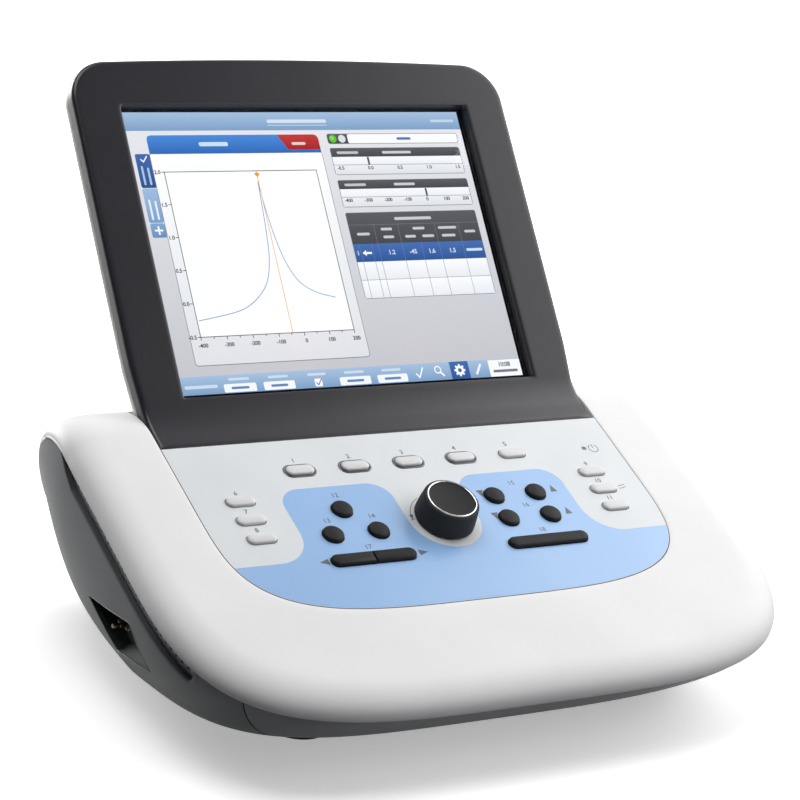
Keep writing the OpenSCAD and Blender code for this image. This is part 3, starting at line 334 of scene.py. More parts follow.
GRIP = Finish("knob_rubber", (17, 17, 19), (13, 13, 15), 0.5, spread=0.12, specular=0.4)
CAP = Finish("knob_cap_plastic", (27, 27, 30), (22, 22, 24), 0.55, specular=0.22)
CHROME = Finish("bright_ring", (240, 241, 243), (230, 231, 234), 0.36, spread=0.05, relief=0.001,
                metallic=0.35)
TRIM = Finish("satin_trim", (112, 114, 122), (100, 102, 110), 0.32, metallic=0.8, effect=Effect.BRUSHED)
BRASS = Finish("aged_brass", (128, 120, 108), (84, 78, 70), 0.34, relief=0.01, metallic=1.0)
STEEL = Finish("brushed_steel", (176, 178, 180), (158, 160, 163), 0.32, metallic=1.0, effect=Effect.BRUSHED)
FOOT = Finish("foot_rubber", (32, 32, 34), (26, 26, 28), 0.75, relief=0.04, sheen=0.2)
BOARD = Finish("solder_mask", (30, 92, 58), (24, 80, 50), 0.35, grain=900, coat=0.3)
IVORY = Finish("ivory_rubber", (214, 210, 196), (204, 199, 184), 0.6)
LAMP = Finish("status_lens", (40, 48, 44), (32, 38, 35), 0.2, coat=0.3)
GLASS = ClearFinish("window_glass", (246, 249, 250), (250, 250, 250))
LIT = LitFinish("lit_display")


# Forms that the pieces share


def spread(*values: Value) -> Array:
    """Stacks values of any matching shapes into points.

    Args:
        *values: The x, y and z values.

    Returns:
        Points with the coordinates on the last axis.
    """
    return np.stack(np.broadcast_arrays(*[np.asarray(v, float) for v in values]), -1)


def lerp(a: Value, b: Value, t: Value) -> Array:
    """Goes from a to b as t goes from 0 to 1."""
    return a + (b - a) * t


def ellipse_arc(start: float, stop: float, count: int) -> tuple[Array, Array]:
    """Gives the cosine and sine of evenly spaced angles.

    Args:
        start: First angle in degrees.
        stop: Last angle in degrees.
        count: Number of angles.

    Returns:
        The cosines and the sines.
    """
    a = np.radians(np.linspace(start, stop, count))
    return np.cos(a), np.sin(a)


def arc_at(x: float, y: float, r: float, start: float, stop: float, count: int) -> Array:
    """Points (x, y) on an arc about a centre, at evenly spaced angles in degrees."""
    c, s = ellipse_arc(start, stop, count)
    return np.c_[x + r * c, y + r * s]


def circle_at(x: float, y: float, r: float, count: int = 48) -> Array:
    """Points (x, y) on a whole circle."""
    return arc_at(x, y, r, 0, 360 * (1 - 1 / count), count)


def nose_curve(half: float, length: float, power: float, count: int) -> Array:
    """Front half of a superellipse, from its left end round the front to its right end.

    Polar form: the radius at an angle a is 1 / (|cos a|^n + |sin a|^n)^(1/n), scaled by both half axes.

    Args:
        half: Half width.
        length: Length of the front half.
        power: The exponent n; higher is squarer.
        count: Number of points.

    Returns:
        Points (x, v).
    """
    c, s = ellipse_arc(180, 0, count)
    reach = (np.abs(c) ** power + np.abs(s) ** power) ** (-1 / power)
    return spread(half * c * reach, length * np.abs(s) * reach)


@dataclass(frozen=True)
class Form:
    """The main surfaces of the body, with the sizes of the solids.

    A deck point is x to the right, v down the deck from the bezel seam, h above the deck.
    """

    seam_y: float = 7.03337
    seam_z: float = 131.0
    under_z: float = 5.0
    slope: float = math.radians(21)
    half_w: float = 207.7
    deck_front: float = 216.9
    nose_len: float = 150.9
    nose_power: float = 3.9
    edge_drop: float = 12.8
    edge_tuck: float = 11.3
    edge_bulge: float = 1.5
    edge_round: float = 19.0
    rear_round: float = 12.0
    rear_draw: float = 1.0
    rear_run: float = 60.0
    narrow_start: float = 10.0
    narrow_run: float = 115.0
    rear_narrow: float = 17.0
    roll_r: float = 58.3
    roll_start: float = 12.0
    side_inset: float = 68.6
    nose_inset: float = 54.2
    belly_power: float = 2.87
    belly_nose_power: float = 1.09
    belly_rear_power: float = 1.25
    screen_rise: float = math.radians(29.2)
    sweep_r: float = 47.0
    sweep_cross: float = 25.0
    window_lift: float = 13.0
    skin: float = 3.0

    @property
    def nose_v(self) -> float:
        """Place along the deck where the sides end and the nose starts."""
        return self.deck_front - self.nose_len

    @property
    def roll_end(self) -> float:
        """Length along the deck and the roll to where the back is vertical."""
        return self.roll_start + (math.pi / 2 + self.slope) * self.roll_r

    @property
    def roll_y(self) -> float:
        """Distance of the roll's axis behind the seam."""
        return self.roll_start * math.cos(self.slope) + self.roll_r * math.sin(self.slope)

    @property
    def roll_z(self) -> float:
        """Height of the roll's axis above the seam, a negative number."""
        return self.roll_start * math.sin(self.slope) - self.roll_r * math.cos(self.slope)

    @property
    def back_y(self) -> float:
        """Place of the vertical back."""
        return self.seam_y + self.roll_y + self.roll_r

    @property
    def sweep_tangent(self) -> float:
        """Length of the sweep's tangent on either side of the crossing."""
        return self.sweep_r * math.tan(self.screen_rise / 2)

    @property
    def sweep_start(self) -> float:
        """Place on the bezel sheet where the sweep starts."""
        return self.sweep_cross - self.sweep_tangent

    @property
    def sweep_len(self) -> float:
        """Length of the sweep."""
        return self.sweep_r * self.screen_rise

    @property
    def window_s(self) -> float:
        """Place of the window's lower edge on the bezel sheet."""
        return self.sweep_start + self.sweep_len + self.window_lift - self.sweep_tangent

    def deck(self, x: Value, v: Value, h: Value) -> Array:
        """Deck coordinates to the row frame."""
        c, s = math.cos(self.slope), math.sin(self.slope)
        return spread(x, self.seam_y - v * c - h * s, self.seam_z - v * s + h * c)

    def roll(self, x: Value, v: Value, h: Value) -> Array:
        """The deck carried on over the rear roll, an arc of radius roll_r, and down the back.

        Args:
            x: To the right.
            v: Down the deck; behind the seam it is negative and runs along the roll.
            h: Height above the surface.

        Returns:
            Points in the row frame.
        """
        v, h = np.asarray(v, float), np.asarray(h, float)
        turn = (-v - self.roll_start) / self.roll_r - self.slope
        arc = spread(x, self.seam_y + self.roll_y + (self.roll_r + h) * np.sin(turn),
                     self.seam_z + self.roll_z + (self.roll_r + h) * np.cos(turn))
        back = spread(x, self.back_y + h, self.seam_z + self.roll_z + v + self.roll_end)
        flat = self.deck(x, v, h)
        on_deck = np.broadcast_to((v >= -self.roll_start)[..., None], flat.shape)
        on_roll = np.broadcast_to((-v < self.roll_end)[..., None], flat.shape)
        return np.where(on_deck, flat, np.where(on_roll, arc, back))

    def sheet(self, x: Value, w: Value, h: Value) -> Array:
        """The bezel sheet: w runs up from the seam, over the sweep's arc and up the screen plane.

        Args:
            x: To the right.
            w: Length along the sheet from the seam.
            h: Height above the sheet.

        Returns:
            Points in the row frame.
        """
        w, h = np.asarray(w, float), np.asarray(h, float)
        a = np.clip((w - self.sweep_start) / self.sweep_r, 0, self.screen_rise)
        r = self.sweep_r - h
        bent = self.deck(x, -self.sweep_start - r * np.sin(a), self.sweep_r - r * np.cos(a))
        low = self.deck(x, -w, h)
        high = self.screen(x, w, h)
        is_low = np.broadcast_to((w <= self.sweep_start)[..., None], bent.shape)
        is_high = np.broadcast_to((w >= self.sweep_start + self.sweep_len)[..., None], bent.shape)
        return np.where(is_low, low, np.where(is_high, high, bent))

    def screen(self, x: Value, w: Value, h: Value) -> Array:
        """The flat screen plane in the coordinates of the bezel sheet."""
        s = w - self.sweep_start - self.sweep_len + self.sweep_tangent
        c, n = math.cos(self.screen_rise), math.sin(self.screen_rise)
        return self.deck(x, -self.sweep_cross - s * c + h * n, s * n + h * c)

    def side_x(self, v: Value) -> Array:
        """Half width of the deck, drawn in by a square law over the roll."""
        back = np.clip((-self.narrow_start - v) / self.narrow_run, 0, 1)
        return self.half_w - self.rear_narrow * back ** 2

    def crease_x(self, v: Value) -> Array:
        """Half width of the crease below the white edge."""
        t = np.clip((v - self.nose_v) / self.nose_len, 0, 1)
        nose = self.half_w * (1 - t ** self.nose_power) ** (1 / self.nose_power)
        return np.where(v > self.nose_v, nose, self.side_x(v))

    def edge_size(self, v: Value) -> tuple[Array, Array]:
        """Width of the edge rounding, wider over the roll, and the half axis of its ellipse."""
        rear = np.clip(-v / self.rear_run, 0, 1)
        width = self.edge_round + self.rear_round * rear
        return width, width + lerp(self.edge_bulge, -self.rear_draw, rear)

    def edge(self, t: Value, v: Value) -> tuple[Array, Array]:
        """Distance inside the crease and height of the white edge: a quarter ellipse.

        Args:
            t: Angle in degrees, 0 at the widest place and 90 where the deck is flat.
            v: Place along the deck.

        Returns:
            The distance d and the height h.
        """
        width, axis = self.edge_size(v)
        a = np.radians(t)
        d = width - axis * np.cos(a)
        return d, np.broadcast_to(-self.edge_tuck * (1 - np.sin(a)), d.shape)

    def edge_height(self, d: Value, v: Value) -> Array:
        """Height of the white edge at the distance d inside the crease."""
        width, axis = self.edge_size(v)
        q = np.clip((width - d) / axis, 0, 1)
        return -self.edge_tuck * (1 - np.sqrt(1 - q ** 2))

    def crease(self, v: Value) -> Array:
        """Left half of the crease curve."""
        return self.roll(-self.crease_x(v), v, -self.edge_drop)

    def belly(self, p: Array, t: Value) -> Array:
        """Lower body below crease points: full at the sides, nearly straight at nose and rear.

        A point goes inwards by f = 1 - (1 - t^w)^(1/w) while it goes down by t.

        Args:
            p: Crease points.
            t: 0 at the crease and 1 at the underside.

        Returns:
            Points of the surface.
        """
        mid = self.deck(0, self.nose_v, -self.edge_drop)[1]
        front = self.deck(0, self.deck_front, -self.edge_drop)[1]
        rear = self.back_y - self.edge_drop
        nose = np.clip((mid - p[..., 1]) / (mid - front), 0, 1)
        tail = np.clip((p[..., 1] - mid) / (rear - mid), 0, 1)
        w = (self.belly_power + (self.belly_nose_power - self.belly_power) * nose
             + (self.belly_rear_power - self.belly_power) * tail ** 2)
        f = 1 - (1 - np.clip(t, 0, 1) ** w) ** (1 / w)
        x_end = p[..., 0] * (1 - self.side_inset / self.half_w)
        y_end = p[..., 1] + self.nose_inset * nose
        return spread(lerp(p[..., 0], x_end, f), lerp(p[..., 1], y_end, f), lerp(p[..., 2], self.under_z, t))


FORM = Form()


# Mesh making


def at_height(flat: Array, h: Value) -> Array:
    """Adds a height, or one for each point, to flat points."""
    return np.c_[flat, np.broadcast_to(h, len(flat))]


def mirrored(flat: Array) -> Array:
    """Flat points on the other side of the middle line, in reverse order."""
    return flat[::-1] * [-1, 1]


def joined(bodies: Sequence[Shell]) -> Shell:
    """Joins several bodies into one list of points and one of faces."""
    starts = np.cumsum([0, *(len(points) for points, _ in bodies)]).tolist()
    faces = [tuple(i + start for i in face) for (_, own), start in zip(bodies, starts) for face in own]
    return np.concatenate([points for points, _ in bodies]), faces


def put(name: str, data: bpy.types.ID) -> bpy.types.Object:
    """Makes an object from its data and puts it into the scene."""
    made = bpy.data.objects.new(name, data)
    bpy.context.scene.collection.objects.link(made)
    return made


def strip_faces(rows: int, cols: int, wrap: bool = False, loop: bool = False) -> Faces:
    """Quads of a grid of points kept row by row.

    Args:
        rows: Number of rows.
        cols: Number of columns.
        wrap: Whether the last column joins the first.
        loop: Whether the last row joins the first.

    Returns:
        Four point indices for each quad.
    """
    r = np.arange(rows if loop else rows - 1)[:, None]
    c = np.arange(cols if wrap else cols - 1)[None, :]
    r2, c2 = (r + 1) % rows, (c + 1) % cols
    quads = np.stack(np.broadcast_arrays(r * cols + c, r * cols + c2, r2 * cols + c2, r2 * cols + c), -1)
    return [tuple(q) for q in quads.reshape(-1, 4).tolist()]


def thick_sheet(grid: Array, thickness: float, keep: NDArray[np.bool_] | None = None) -> Shell:
    """Gives a grid of points a wall behind it and closes every rim.

    Inner point = outer point - thickness times the unit normal, the cross product of both differences.

    Args:
        grid: Points, rows by columns by 3.
        thickness: Wall thickness.
        keep: Which quads are kept, rows - 1 by columns - 1; all when None.

    Returns:
        Points and faces of a closed wall.
    """
    rows, cols = grid.shape[:2]
    normal = np.cross(np.gradient(grid, axis=0), np.gradient(grid, axis=1))
    normal /= np.maximum(np.linalg.norm(normal, axis=-1, keepdims=True), 1e-9)
    points = np.concatenate([grid.reshape(-1, 3), (grid - thickness * normal).reshape(-1, 3)])
    outer = np.array(strip_faces(rows, cols))
    if keep is not None:
        outer = outer[keep.reshape(-1)]
    n = rows * cols
    edges = np.concatenate([outer[:, [k, (k + 1) % 4]] for k in range(4)])
    code = edges[:, 0] * n + edges[:, 1]
    rim = edges[~np.isin(code, edges[:, 1] * n + edges[:, 0])]
    sides = np.stack([rim[:, 1], rim[:, 0], rim[:, 0] + n, rim[:, 1] + n], 1)
    inner = outer[:, ::-1] + n
    return points, [tuple(q) for q in np.concatenate([outer, inner, sides]).tolist()]


def make_piece(name: str, shell: Shell, finish: Coating, replaces: Sequence[str] = (),
               angle: float = 40.0, bevel: float = 0.0, body: str = HOUSING,
               closed: bool = True) -> bpy.types.Object:
    """Makes a mesh piece in the row frame and lets it ride on a body.

    Args:
        name: Name of the piece.
        shell: Its points in millimetres, and its faces.
        finish: Finish of the whole piece.
        replaces: CAD nodes it stands for.
        angle: Edges sharper than this many degrees stay sharp.
        bevel: Width of the rounding on sharp edges, in millimetres.
        body: Body it rides on.
        closed: Whether it is a closed solid whose normals are turned outwards.

    Returns:
        The new object.
    """
    mesh = bpy.data.meshes.new(name)
    mesh.from_pydata((shell[0] * MM).tolist(), [], shell[1])
    if closed:
        work = bmesh.new()
        work.from_mesh(mesh)
        bmesh.ops.remove_doubles(work, verts=work.verts, dist=MERGE)
        bmesh.ops.dissolve_degenerate(work, edges=work.edges, dist=1e-6)
        bmesh.ops.recalc_face_normals(work, faces=work.faces)
        work.to_mesh(mesh)
        work.free()
    mesh.shade_smooth()
    mesh.set_sharp_from_angle(angle=math.radians(angle))
    mesh.materials.append(finish.material())
    piece = put(name, mesh)
    if bevel:
        rounding = piece.modifiers.new("rounding", "BEVEL")
        rounding.width, rounding.segments = bevel * MM, 2
        rounding.limit_method, rounding.angle_limit = "ANGLE", math.radians(angle)
        rounding.harden_normals = True
    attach(piece, body)
    if replaces:
        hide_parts(*replaces)
    LOG.info("%s: %d faces", name, len(mesh.polygons))
    return piece


def ring_body(rings: Sequence[Array], place: Place | None = None) -> Shell:
    """Closed body from rings of points where the last ring joins the first.

    Args:
        rings: The rings, all with the same number of points.
        place: Takes the points to the row frame, when they are not there already.

    Returns:
        Points and faces.
    """
    stack = np.stack(rings)
    if place is not None:
        stack = place(*np.moveaxis(stack, -1, 0))
    return stack.reshape(-1, 3), strip_faces(*stack.shape[:2], wrap=True, loop=True)


def capped_body(rings: Sequence[Array]) -> Shell:
    """Closed body from rings of points with a fan over the first and the last ring."""
    stack = np.stack(rings)
    rows, cols = stack.shape[:2]
    middle = np.stack([stack[0].mean(0), stack[-1].mean(0)])
    faces = strip_faces(rows, cols, wrap=True)
    i = np.arange(cols)
    j = (i + 1) % cols
    first = np.stack([j, i, np.full(cols, rows * cols)], 1)
    last = np.stack([i, j, np.full(cols, cols + 1)], 1) + (rows - 1) * cols
    faces += [tuple(f) for f in np.concatenate([first, last]).tolist()]
    return np.concatenate([stack.reshape(-1, 3), middle]), faces


def flat_plate(outline: Array, holes: Sequence[Array], low: float, high: float, place: Place) -> Shell:
    """Plate with holes between two heights, from a filled two-dimensional curve.

    Args:
        outline: Outer points (x, y).
        holes: Points (x, y) of each hole.
        low: Lower height.
        high: Upper height.
        place: Takes x, y and height to the row frame.

    Returns:
        Points and faces.
    """
    curve = bpy.data.curves.new("plate_outline", "CURVE")
    curve.dimensions, curve.fill_mode, curve.extrude = "2D", "BOTH", (high - low) / 2
    for loop in [outline, *holes]:
        line = curve.splines.new("POLY")
        line.points.add(len(loop) - 1)
        line.points.foreach_set("co", np.c_[at_height(loop, 0.0), np.ones(len(loop))].ravel())
        line.use_cyclic_u = True
    points, faces = object_arrays(put("plate_outline", curve))
    points[:, 2] += (low + high) / 2
    return place(*points.T), faces


def object_arrays(holder: bpy.types.Object) -> Shell:
    """Reads the mesh of an object made for a moment, and removes the object.

    Args:
        holder: A curve, text or mesh object.

    Returns:
        Its points and faces.
    """
    bpy.context.view_layer.update()
    solid = holder.evaluated_get(bpy.context.evaluated_depsgraph_get())
    mesh = bpy.data.meshes.new_from_object(solid)
    points = np.zeros(len(mesh.vertices) * 3)
    mesh.vertices.foreach_get("co", points)
    faces = [tuple(p.vertices) for p in mesh.polygons]
    bpy.data.objects.remove(holder)
    bpy.data.meshes.remove(mesh)
    return points.reshape(-1, 3), faces


def revolved(profile: Array, place: Place, segments: int) -> Shell:
    """Turns a profile about an axis; its ends on the axis close as poles.

    Args:
        profile: Points (radius, height), from pole to pole or as a closed loop of its own.
        place: Takes right, forward and height offsets to points of the row frame.
        segments: Number of steps round the axis.

    Returns:
        Points and faces.
    """
    c, s = ellipse_arc(0, 360 * (1 - 1 / segments), segments)
    height = np.broadcast_to(profile[:, 1:], (len(profile), segments))
    rings = place(profile[:, :1] * c, profile[:, :1] * s, height)
    return rings.reshape(-1, 3), strip_faces(*rings.shape[:2], wrap=True, loop=bool(profile[0, 0] > 0))


def repaint(node: str, finish: Coating) -> None:
    """Gives a CAD node another finish and leaves its shape alone."""
    materials = bpy.data.objects[node].data.materials
    materials.clear()
    materials.append(finish.material())


def polish(node: str, finish: Finish, bevel: float) -> None:
    """Shows a merged, smoothly shaded copy of a CAD node with softened edges.

    Args:
        node: The CAD node.
        finish: Finish of the copy.
        bevel: Width of the rounding, in millimetres.
    """
    source = bpy.data.objects[node]
    work = bmesh.new()
    work.from_mesh(source.data)
    bmesh.ops.remove_doubles(work, verts=work.verts, dist=MERGE)
    bmesh.ops.dissolve_limit(work, angle_limit=math.radians(1), verts=work.verts, edges=work.edges)
    points = np.array([v.co for v in work.verts]) / MM
    faces = [tuple(v.index for v in f.verts) for f in work.faces]
    work.free()
    make_piece(f"{node}_finished", (points, faces), finish, [node], SHARP_ANGLE, bevel,
               body_of(source)[0])


# Housing


@dataclass
class Housing:
    """White covers, dark side covers and skirt, vents, base and feet."""

    form: Form = FORM
    seam_rear: float = 60.2
    recess_half_w: float = 155.4
    recess_len: float = 145.2
    recess_v: float = 51.3
    recess_power: float = 3.8
    recess_rear: float = 49.5
    recess_bow: float = 1.5
    ledge_h: float = 3.6
    ledge_w: float = 4.5
    ledge_t: float = 1.8
    gap: float = 0.4
    skirt_angle: float = 41.0
    vent_front: float = 160.7
    vent_rear: float = -22.0
    vent_round: float = 6.0
    channel_w: float = 9.0
    vent_pitch: float = 5.3
    vent_count: int = 30
    vent_hole: float = 2.4
    hole_drop: float = 5.8
    lip_round: float = 3.4
    strip_h: float = 11.5
    strip_t: float = 1.6
    plate_half: float = 95.0
    plate_low: float = 19.0
    plate_high: float = 59.0
    socket_y: float = -49.0
    socket_z: float = 45.0
    pocket_x: float = -190.0
    pocket: Array = field(
        default_factory=lambda: np.array([[-21, 53], [-82, 62], [-100, 38.5], [-54, 32]], float))
    pocket_floor: Array = field(
        default_factory=lambda: np.array([[-25, 51], [-68, 57.5], [-76, 44], [-55, 36]]))
    pocket_corner: float = 2.5
    pocket_steps: int = 8
    nose_steps: int = 161
    side_steps: int = 60
    rear_steps: int = 48

    def ring(self, v_rear: float, edge: Callable[[Array], tuple[Array, Array]]) -> Array:
        """Ring of the deck outline in deck coordinates: nose, right side, rear, left side.

        Args:
            v_rear: Place of the ring's rear edge.
            edge: Gives the distance inside the crease and the height at places v.

        Returns:
            Points (x, v, h).
        """
        form = self.form
        d0, h0 = (float(a) for a in edge(np.array(form.nose_v)))
        nose = nose_curve(form.half_w - d0, form.nose_len - d0, form.nose_power, self.nose_steps)
        nose = at_height(nose + [0, form.nose_v], h0)
        v = np.linspace(form.nose_v, v_rear, self.side_steps + 1)[1:]
        d, h = edge(v)
        side = np.c_[form.side_x(v) - d, v, h]
        limit = float(form.side_x(v_rear) - edge(np.array(v_rear))[0])
        x = limit * np.cos(np.linspace(0, math.pi, self.rear_steps + 2)[1:-1])
        rear = np.c_[x, np.full_like(x, v_rear), form.edge_height(form.side_x(v_rear) - np.abs(x), v_rear)]
        return np.concatenate([nose, side, rear, side[::-1] * [-1, 1, 1]])

    def recess(self, shrink: float, rear_shrink: float, h: float) -> Array:
        """Ring of the recess for the panel and the screen foot, in deck coordinates.

        Args:
            shrink: How far the front part is drawn in.
            rear_shrink: How far the part below the screen is drawn in.
            h: Height of the ring.

        Returns:
            Points (x, v, h).
        """
        nose = nose_curve(self.recess_half_w - shrink, self.recess_len - self.recess_v - shrink,
                          self.recess_power, self.nose_steps)
        v = np.linspace(self.recess_v, -self.recess_rear, self.side_steps + 1)[1:]
        x = self.recess_half_w - np.where(v > -self.form.sweep_start, shrink, rear_shrink)
        t = np.linspace(0, math.pi, self.rear_steps + 2)[1:-1]
        rear = np.c_[x[-1] * np.cos(t), -self.recess_rear + rear_shrink - self.recess_bow * np.sin(t)]
        side = np.c_[x, v]
        return at_height(np.concatenate([nose + [0, self.recess_v], side, rear, mirrored(side)]), h)

    def top_cover(self) -> None:
        """The white deck: rounded lower lip, quarter-ellipse edge, flat deck, recess, inner wall."""
        form = self.form
        rings = [self.ring(-self.seam_rear + 0.1, lambda v, a=a: (
            np.full_like(v, -form.edge_bulge * math.sin(a)) * np.clip(1 + v / form.rear_run, 0, 1),
            np.full_like(v, -form.edge_drop + form.edge_bulge * (1 - math.cos(a)))))
            for a in np.radians(np.linspace(0, 75, 5))]
        rings += [self.ring(-self.seam_rear + 0.2 + t * 0.004, lambda v, t=t: form.edge(t, v))
                  for t in np.linspace(0, 90, 25)]
        outer, rim = rings[-1], self.recess(-0.2, -0.2, 0)
        rings += [lerp(outer, rim, t) for t in np.linspace(0, 1, 14)[1:]]
        floor = -self.ledge_h - self.ledge_t
        rings += [self.recess(*place) for place in (
            (-0.06, -0.06, -0.06), (0, 0, -0.2), (0, 0, -self.ledge_h), (self.ledge_w, 0.3, -self.ledge_h),
            (self.ledge_w, 0.3, floor), (-0.6, -0.6, floor))]
        rings += [self.ring(-self.seam_rear + 0.5, lambda v, t=t: (
            form.edge(t, v)[0] + form.skin, form.edge(t, v)[1] - form.skin)) for t in (90, 70, 45, 20)]
        rings.append(self.ring(-self.seam_rear + 0.4, lambda v: (
            np.full_like(v, form.skin), np.full_like(v, -form.edge_drop))))
        make_piece("deck_shell", ring_body(rings, form.roll), WHITE, ["top_cover"], angle=50)

    def rear_cover(self) -> None:
        """The white back: roll and vertical wall, with the window for the connector plate."""
        form = self.form
        upright = form.roll_end + form.seam_z + form.roll_z
        stops = [self.seam_rear + self.gap, form.roll_end, upright - self.plate_high,
                 upright - self.plate_low, upright - form.under_z]
        rows = np.unique(np.concatenate([np.linspace(a, b, count)
                                         for a, b, count in zip(stops, stops[1:], (44, 14, 20, 8))]))
        end = form.crease(np.array(-form.roll_end))
        t = np.clip((rows - form.roll_end) / (end[2] - form.under_z), 0, 1)
        below = -form.belly(np.broadcast_to(end, (len(rows), 3)), t)[:, 0]
        half = np.where(rows < form.roll_end, form.side_x(-rows), below)[:, None]
        angles = np.linspace(0, 90, 16)[None, :]
        d, h = form.edge(angles, -rows[:, None])
        inner = half - d[:, -1:]
        middle = np.linspace(-self.plate_half, self.plate_half, 39)[None, :] * np.ones((len(rows), 1))
        between = lerp(-inner, -self.plate_half, np.linspace(0, 1, 12)[None, 1:-1])
        left = np.concatenate([-half, -(half - d), between], 1)
        left_h = np.concatenate([np.full_like(half, -form.edge_drop), h, np.zeros_like(between)], 1)
        x = np.concatenate([left, middle, -left[:, ::-1]], 1)
        height = np.concatenate([left_h, np.zeros_like(middle), left_h[:, ::-1]], 1)
        grid = form.roll(x, -rows[:, None], height)
        centre = (grid[1:, 1:] + grid[:-1, :-1]) / 2
        keep = ~((np.abs(centre[..., 0]) < self.plate_half) & (centre[..., 2] > self.plate_low)
                 & (centre[..., 2] < self.plate_high))
        make_piece("rear_shell", thick_sheet(grid[:, ::-1], form.skin, keep[:, ::-1]), WHITE,
                   ["rear_cover"], angle=55, bevel=0.5)

    def vent_drop(self, v: Array) -> Array:
        """How far the side cover's upper edge drops along the vent: a wedge behind, a round end in front."""
        wedge = np.clip((v - self.vent_rear) / -self.vent_rear, 0, 1)
        q = np.clip((v - self.vent_front) / self.vent_round + 1, 0, 1)
        return self.channel_w * wedge * np.sqrt(1 - q ** 2) * (v < self.vent_front)

    def cheek_grid(self) -> Array:
        """Grid of the left side cover: rows along the crease, the gap inside it, and columns down.

        Below the vent the upper edge is rounded inwards by r (1 - sqrt(1 - q^2)), where q falls from 1 at
        the edge to 0 at the depth r.
        """
        form = self.form
        front = math.sin(math.radians(self.skirt_angle)) ** (2 / form.nose_power)
        v_skirt = form.nose_v + form.nose_len * front
        bow = 1 - np.cos(np.linspace(0, math.pi / 2, 14))
        v = np.concatenate([np.linspace(v_skirt - 0.3, self.vent_front + 1, 22),
                            self.vent_front + 0.5 - self.vent_round * bow,
                            np.linspace(self.vent_front - self.vent_round, self.vent_rear, 130)[1:],
                            np.linspace(self.vent_rear, 0.5 - form.roll_end, 76)[1:]])
        p = form.roll(-form.crease_x(v), v, -form.edge_drop - self.gap)[:, None, :]
        drop = self.vent_drop(v)
        t0 = (drop / (p[:, 0, 2] - form.under_z))[:, None]
        rows = 1 - (1 - np.linspace(0, 1, 60)) ** 1.25
        rows = np.concatenate([np.linspace(0, 0.04, 7)[:-1], lerp(0.04, 1, rows)])
        grid = form.belly(p, lerp(t0, 1, rows[None, :]))
        r = (self.lip_round * np.clip(drop / 5, 0, 1))[:, None] + 1e-6
        q = np.clip(1 - (grid[:, :1, 2] - grid[..., 2]) / r, 0, 0.94)
        grid[..., 0] += r * (1 - np.sqrt(1 - q ** 2))
        return grid

    def rounded_pocket(self) -> Array:
        """Outline of the probe pocket in (y, z) with its corners rounded by arcs."""
        corners = self.pocket + [self.form.seam_y, 0]
        before, after = np.roll(corners, 1, 0) - corners, np.roll(corners, -1, 0) - corners
        before /= np.linalg.norm(before, axis=1, keepdims=True)
        after /= np.linalg.norm(after, axis=1, keepdims=True)
        r = self.pocket_corner
        t = np.linspace(0, 1, self.pocket_steps)[None, :, None]
        a, b = corners[:, None] + before[:, None] * r, corners[:, None] + after[:, None] * r
        bend = (1 - t) ** 2 * a + 2 * t * (1 - t) * corners[:, None] + t ** 2 * b
        nxt = np.roll(bend, -1, 0)[:, :1]
        straight = lerp(bend[:, -1:], nxt, np.linspace(0, 1, 26)[None, 1:-1, None])
        return np.concatenate([bend, straight], 1).reshape(-1, 2)

    def side_covers(self) -> None:
        """The slate side covers; the left one has the pocket's mouth, whose rim follows its outline."""
        grid = self.cheek_grid()
        make_piece("right_cheek", thick_sheet(grid * [-1, 1, 1], -self.form.skin), SLATE,
                   ["right_side_cover"], angle=50, bevel=0.7)
        outline = self.rounded_pocket()
        flat = grid[..., 1:]
        centre = (flat[1:, 1:] + flat[:-1, :-1] + flat[1:, :-1] + flat[:-1, 1:]) / 4
        keep = ~inside_outline(centre, outline)
        used, cut = np.zeros((2, *flat.shape[:2]), bool)
        for i, j in ((0, 0), (0, 1), (1, 0), (1, 1)):
            used[i:i + keep.shape[0], j:j + keep.shape[1]] |= keep
            cut[i:i + keep.shape[0], j:j + keep.shape[1]] |= ~keep
        rim = used & cut
        grid[rim] = self.on_cheek(nearest_on_outline(flat[rim], outline), grid)
        make_piece("left_cheek", thick_sheet(grid, self.form.skin, keep), SLATE,
                   ["left_side_cover"], angle=50, bevel=0.45)

    def on_cheek(self, target: Array, grid: Array) -> Array:
        """Puts (y, z) points on the left side cover.

        The x value is a distance-weighted mean of the six nearest grid points.

        Args:
            target: Points (y, z).
            grid: Grid of the side cover.

        Returns:
            Points in the row frame.
        """
        known = grid.reshape(-1, 3)
        away = np.linalg.norm(target[:, None] - known[None, :, 1:], axis=-1)
        near = np.argsort(away, axis=1)[:, :6]
        weight = 1 / (np.take_along_axis(away, near, 1) + 0.05) ** 2
        x = (known[near, 0] * weight).sum(1) / weight.sum(1)
        return np.c_[x, target]

    def front_skirt(self) -> None:
        """The dark strip below the white nose, in a lighter copy of the slate: painted light bounced up from
        the floor.
        """
        form = self.form
        power = form.nose_power
        a = np.radians(np.linspace(180 - self.skirt_angle, self.skirt_angle, 140))
        nose = spread(form.half_w * np.sign(np.cos(a)) * np.abs(np.cos(a)) ** (2 / power),
                      form.nose_v + form.nose_len * np.sin(a) ** (2 / power))
        p = form.deck(nose[:, 0], nose[:, 1], -form.edge_drop)[:, None, :]
        t0 = (self.gap / (p[:, 0, 2] - form.under_z))[:, None]
        grid = form.belly(p, lerp(t0, 1, np.linspace(0, 1, 26)[None, :]))
        make_piece("skirt", thick_sheet(grid[::-1], form.skin), SKIRT_PAINTED_LIGHT, ["front_skirt"],
                   angle=50, bevel=0.4)

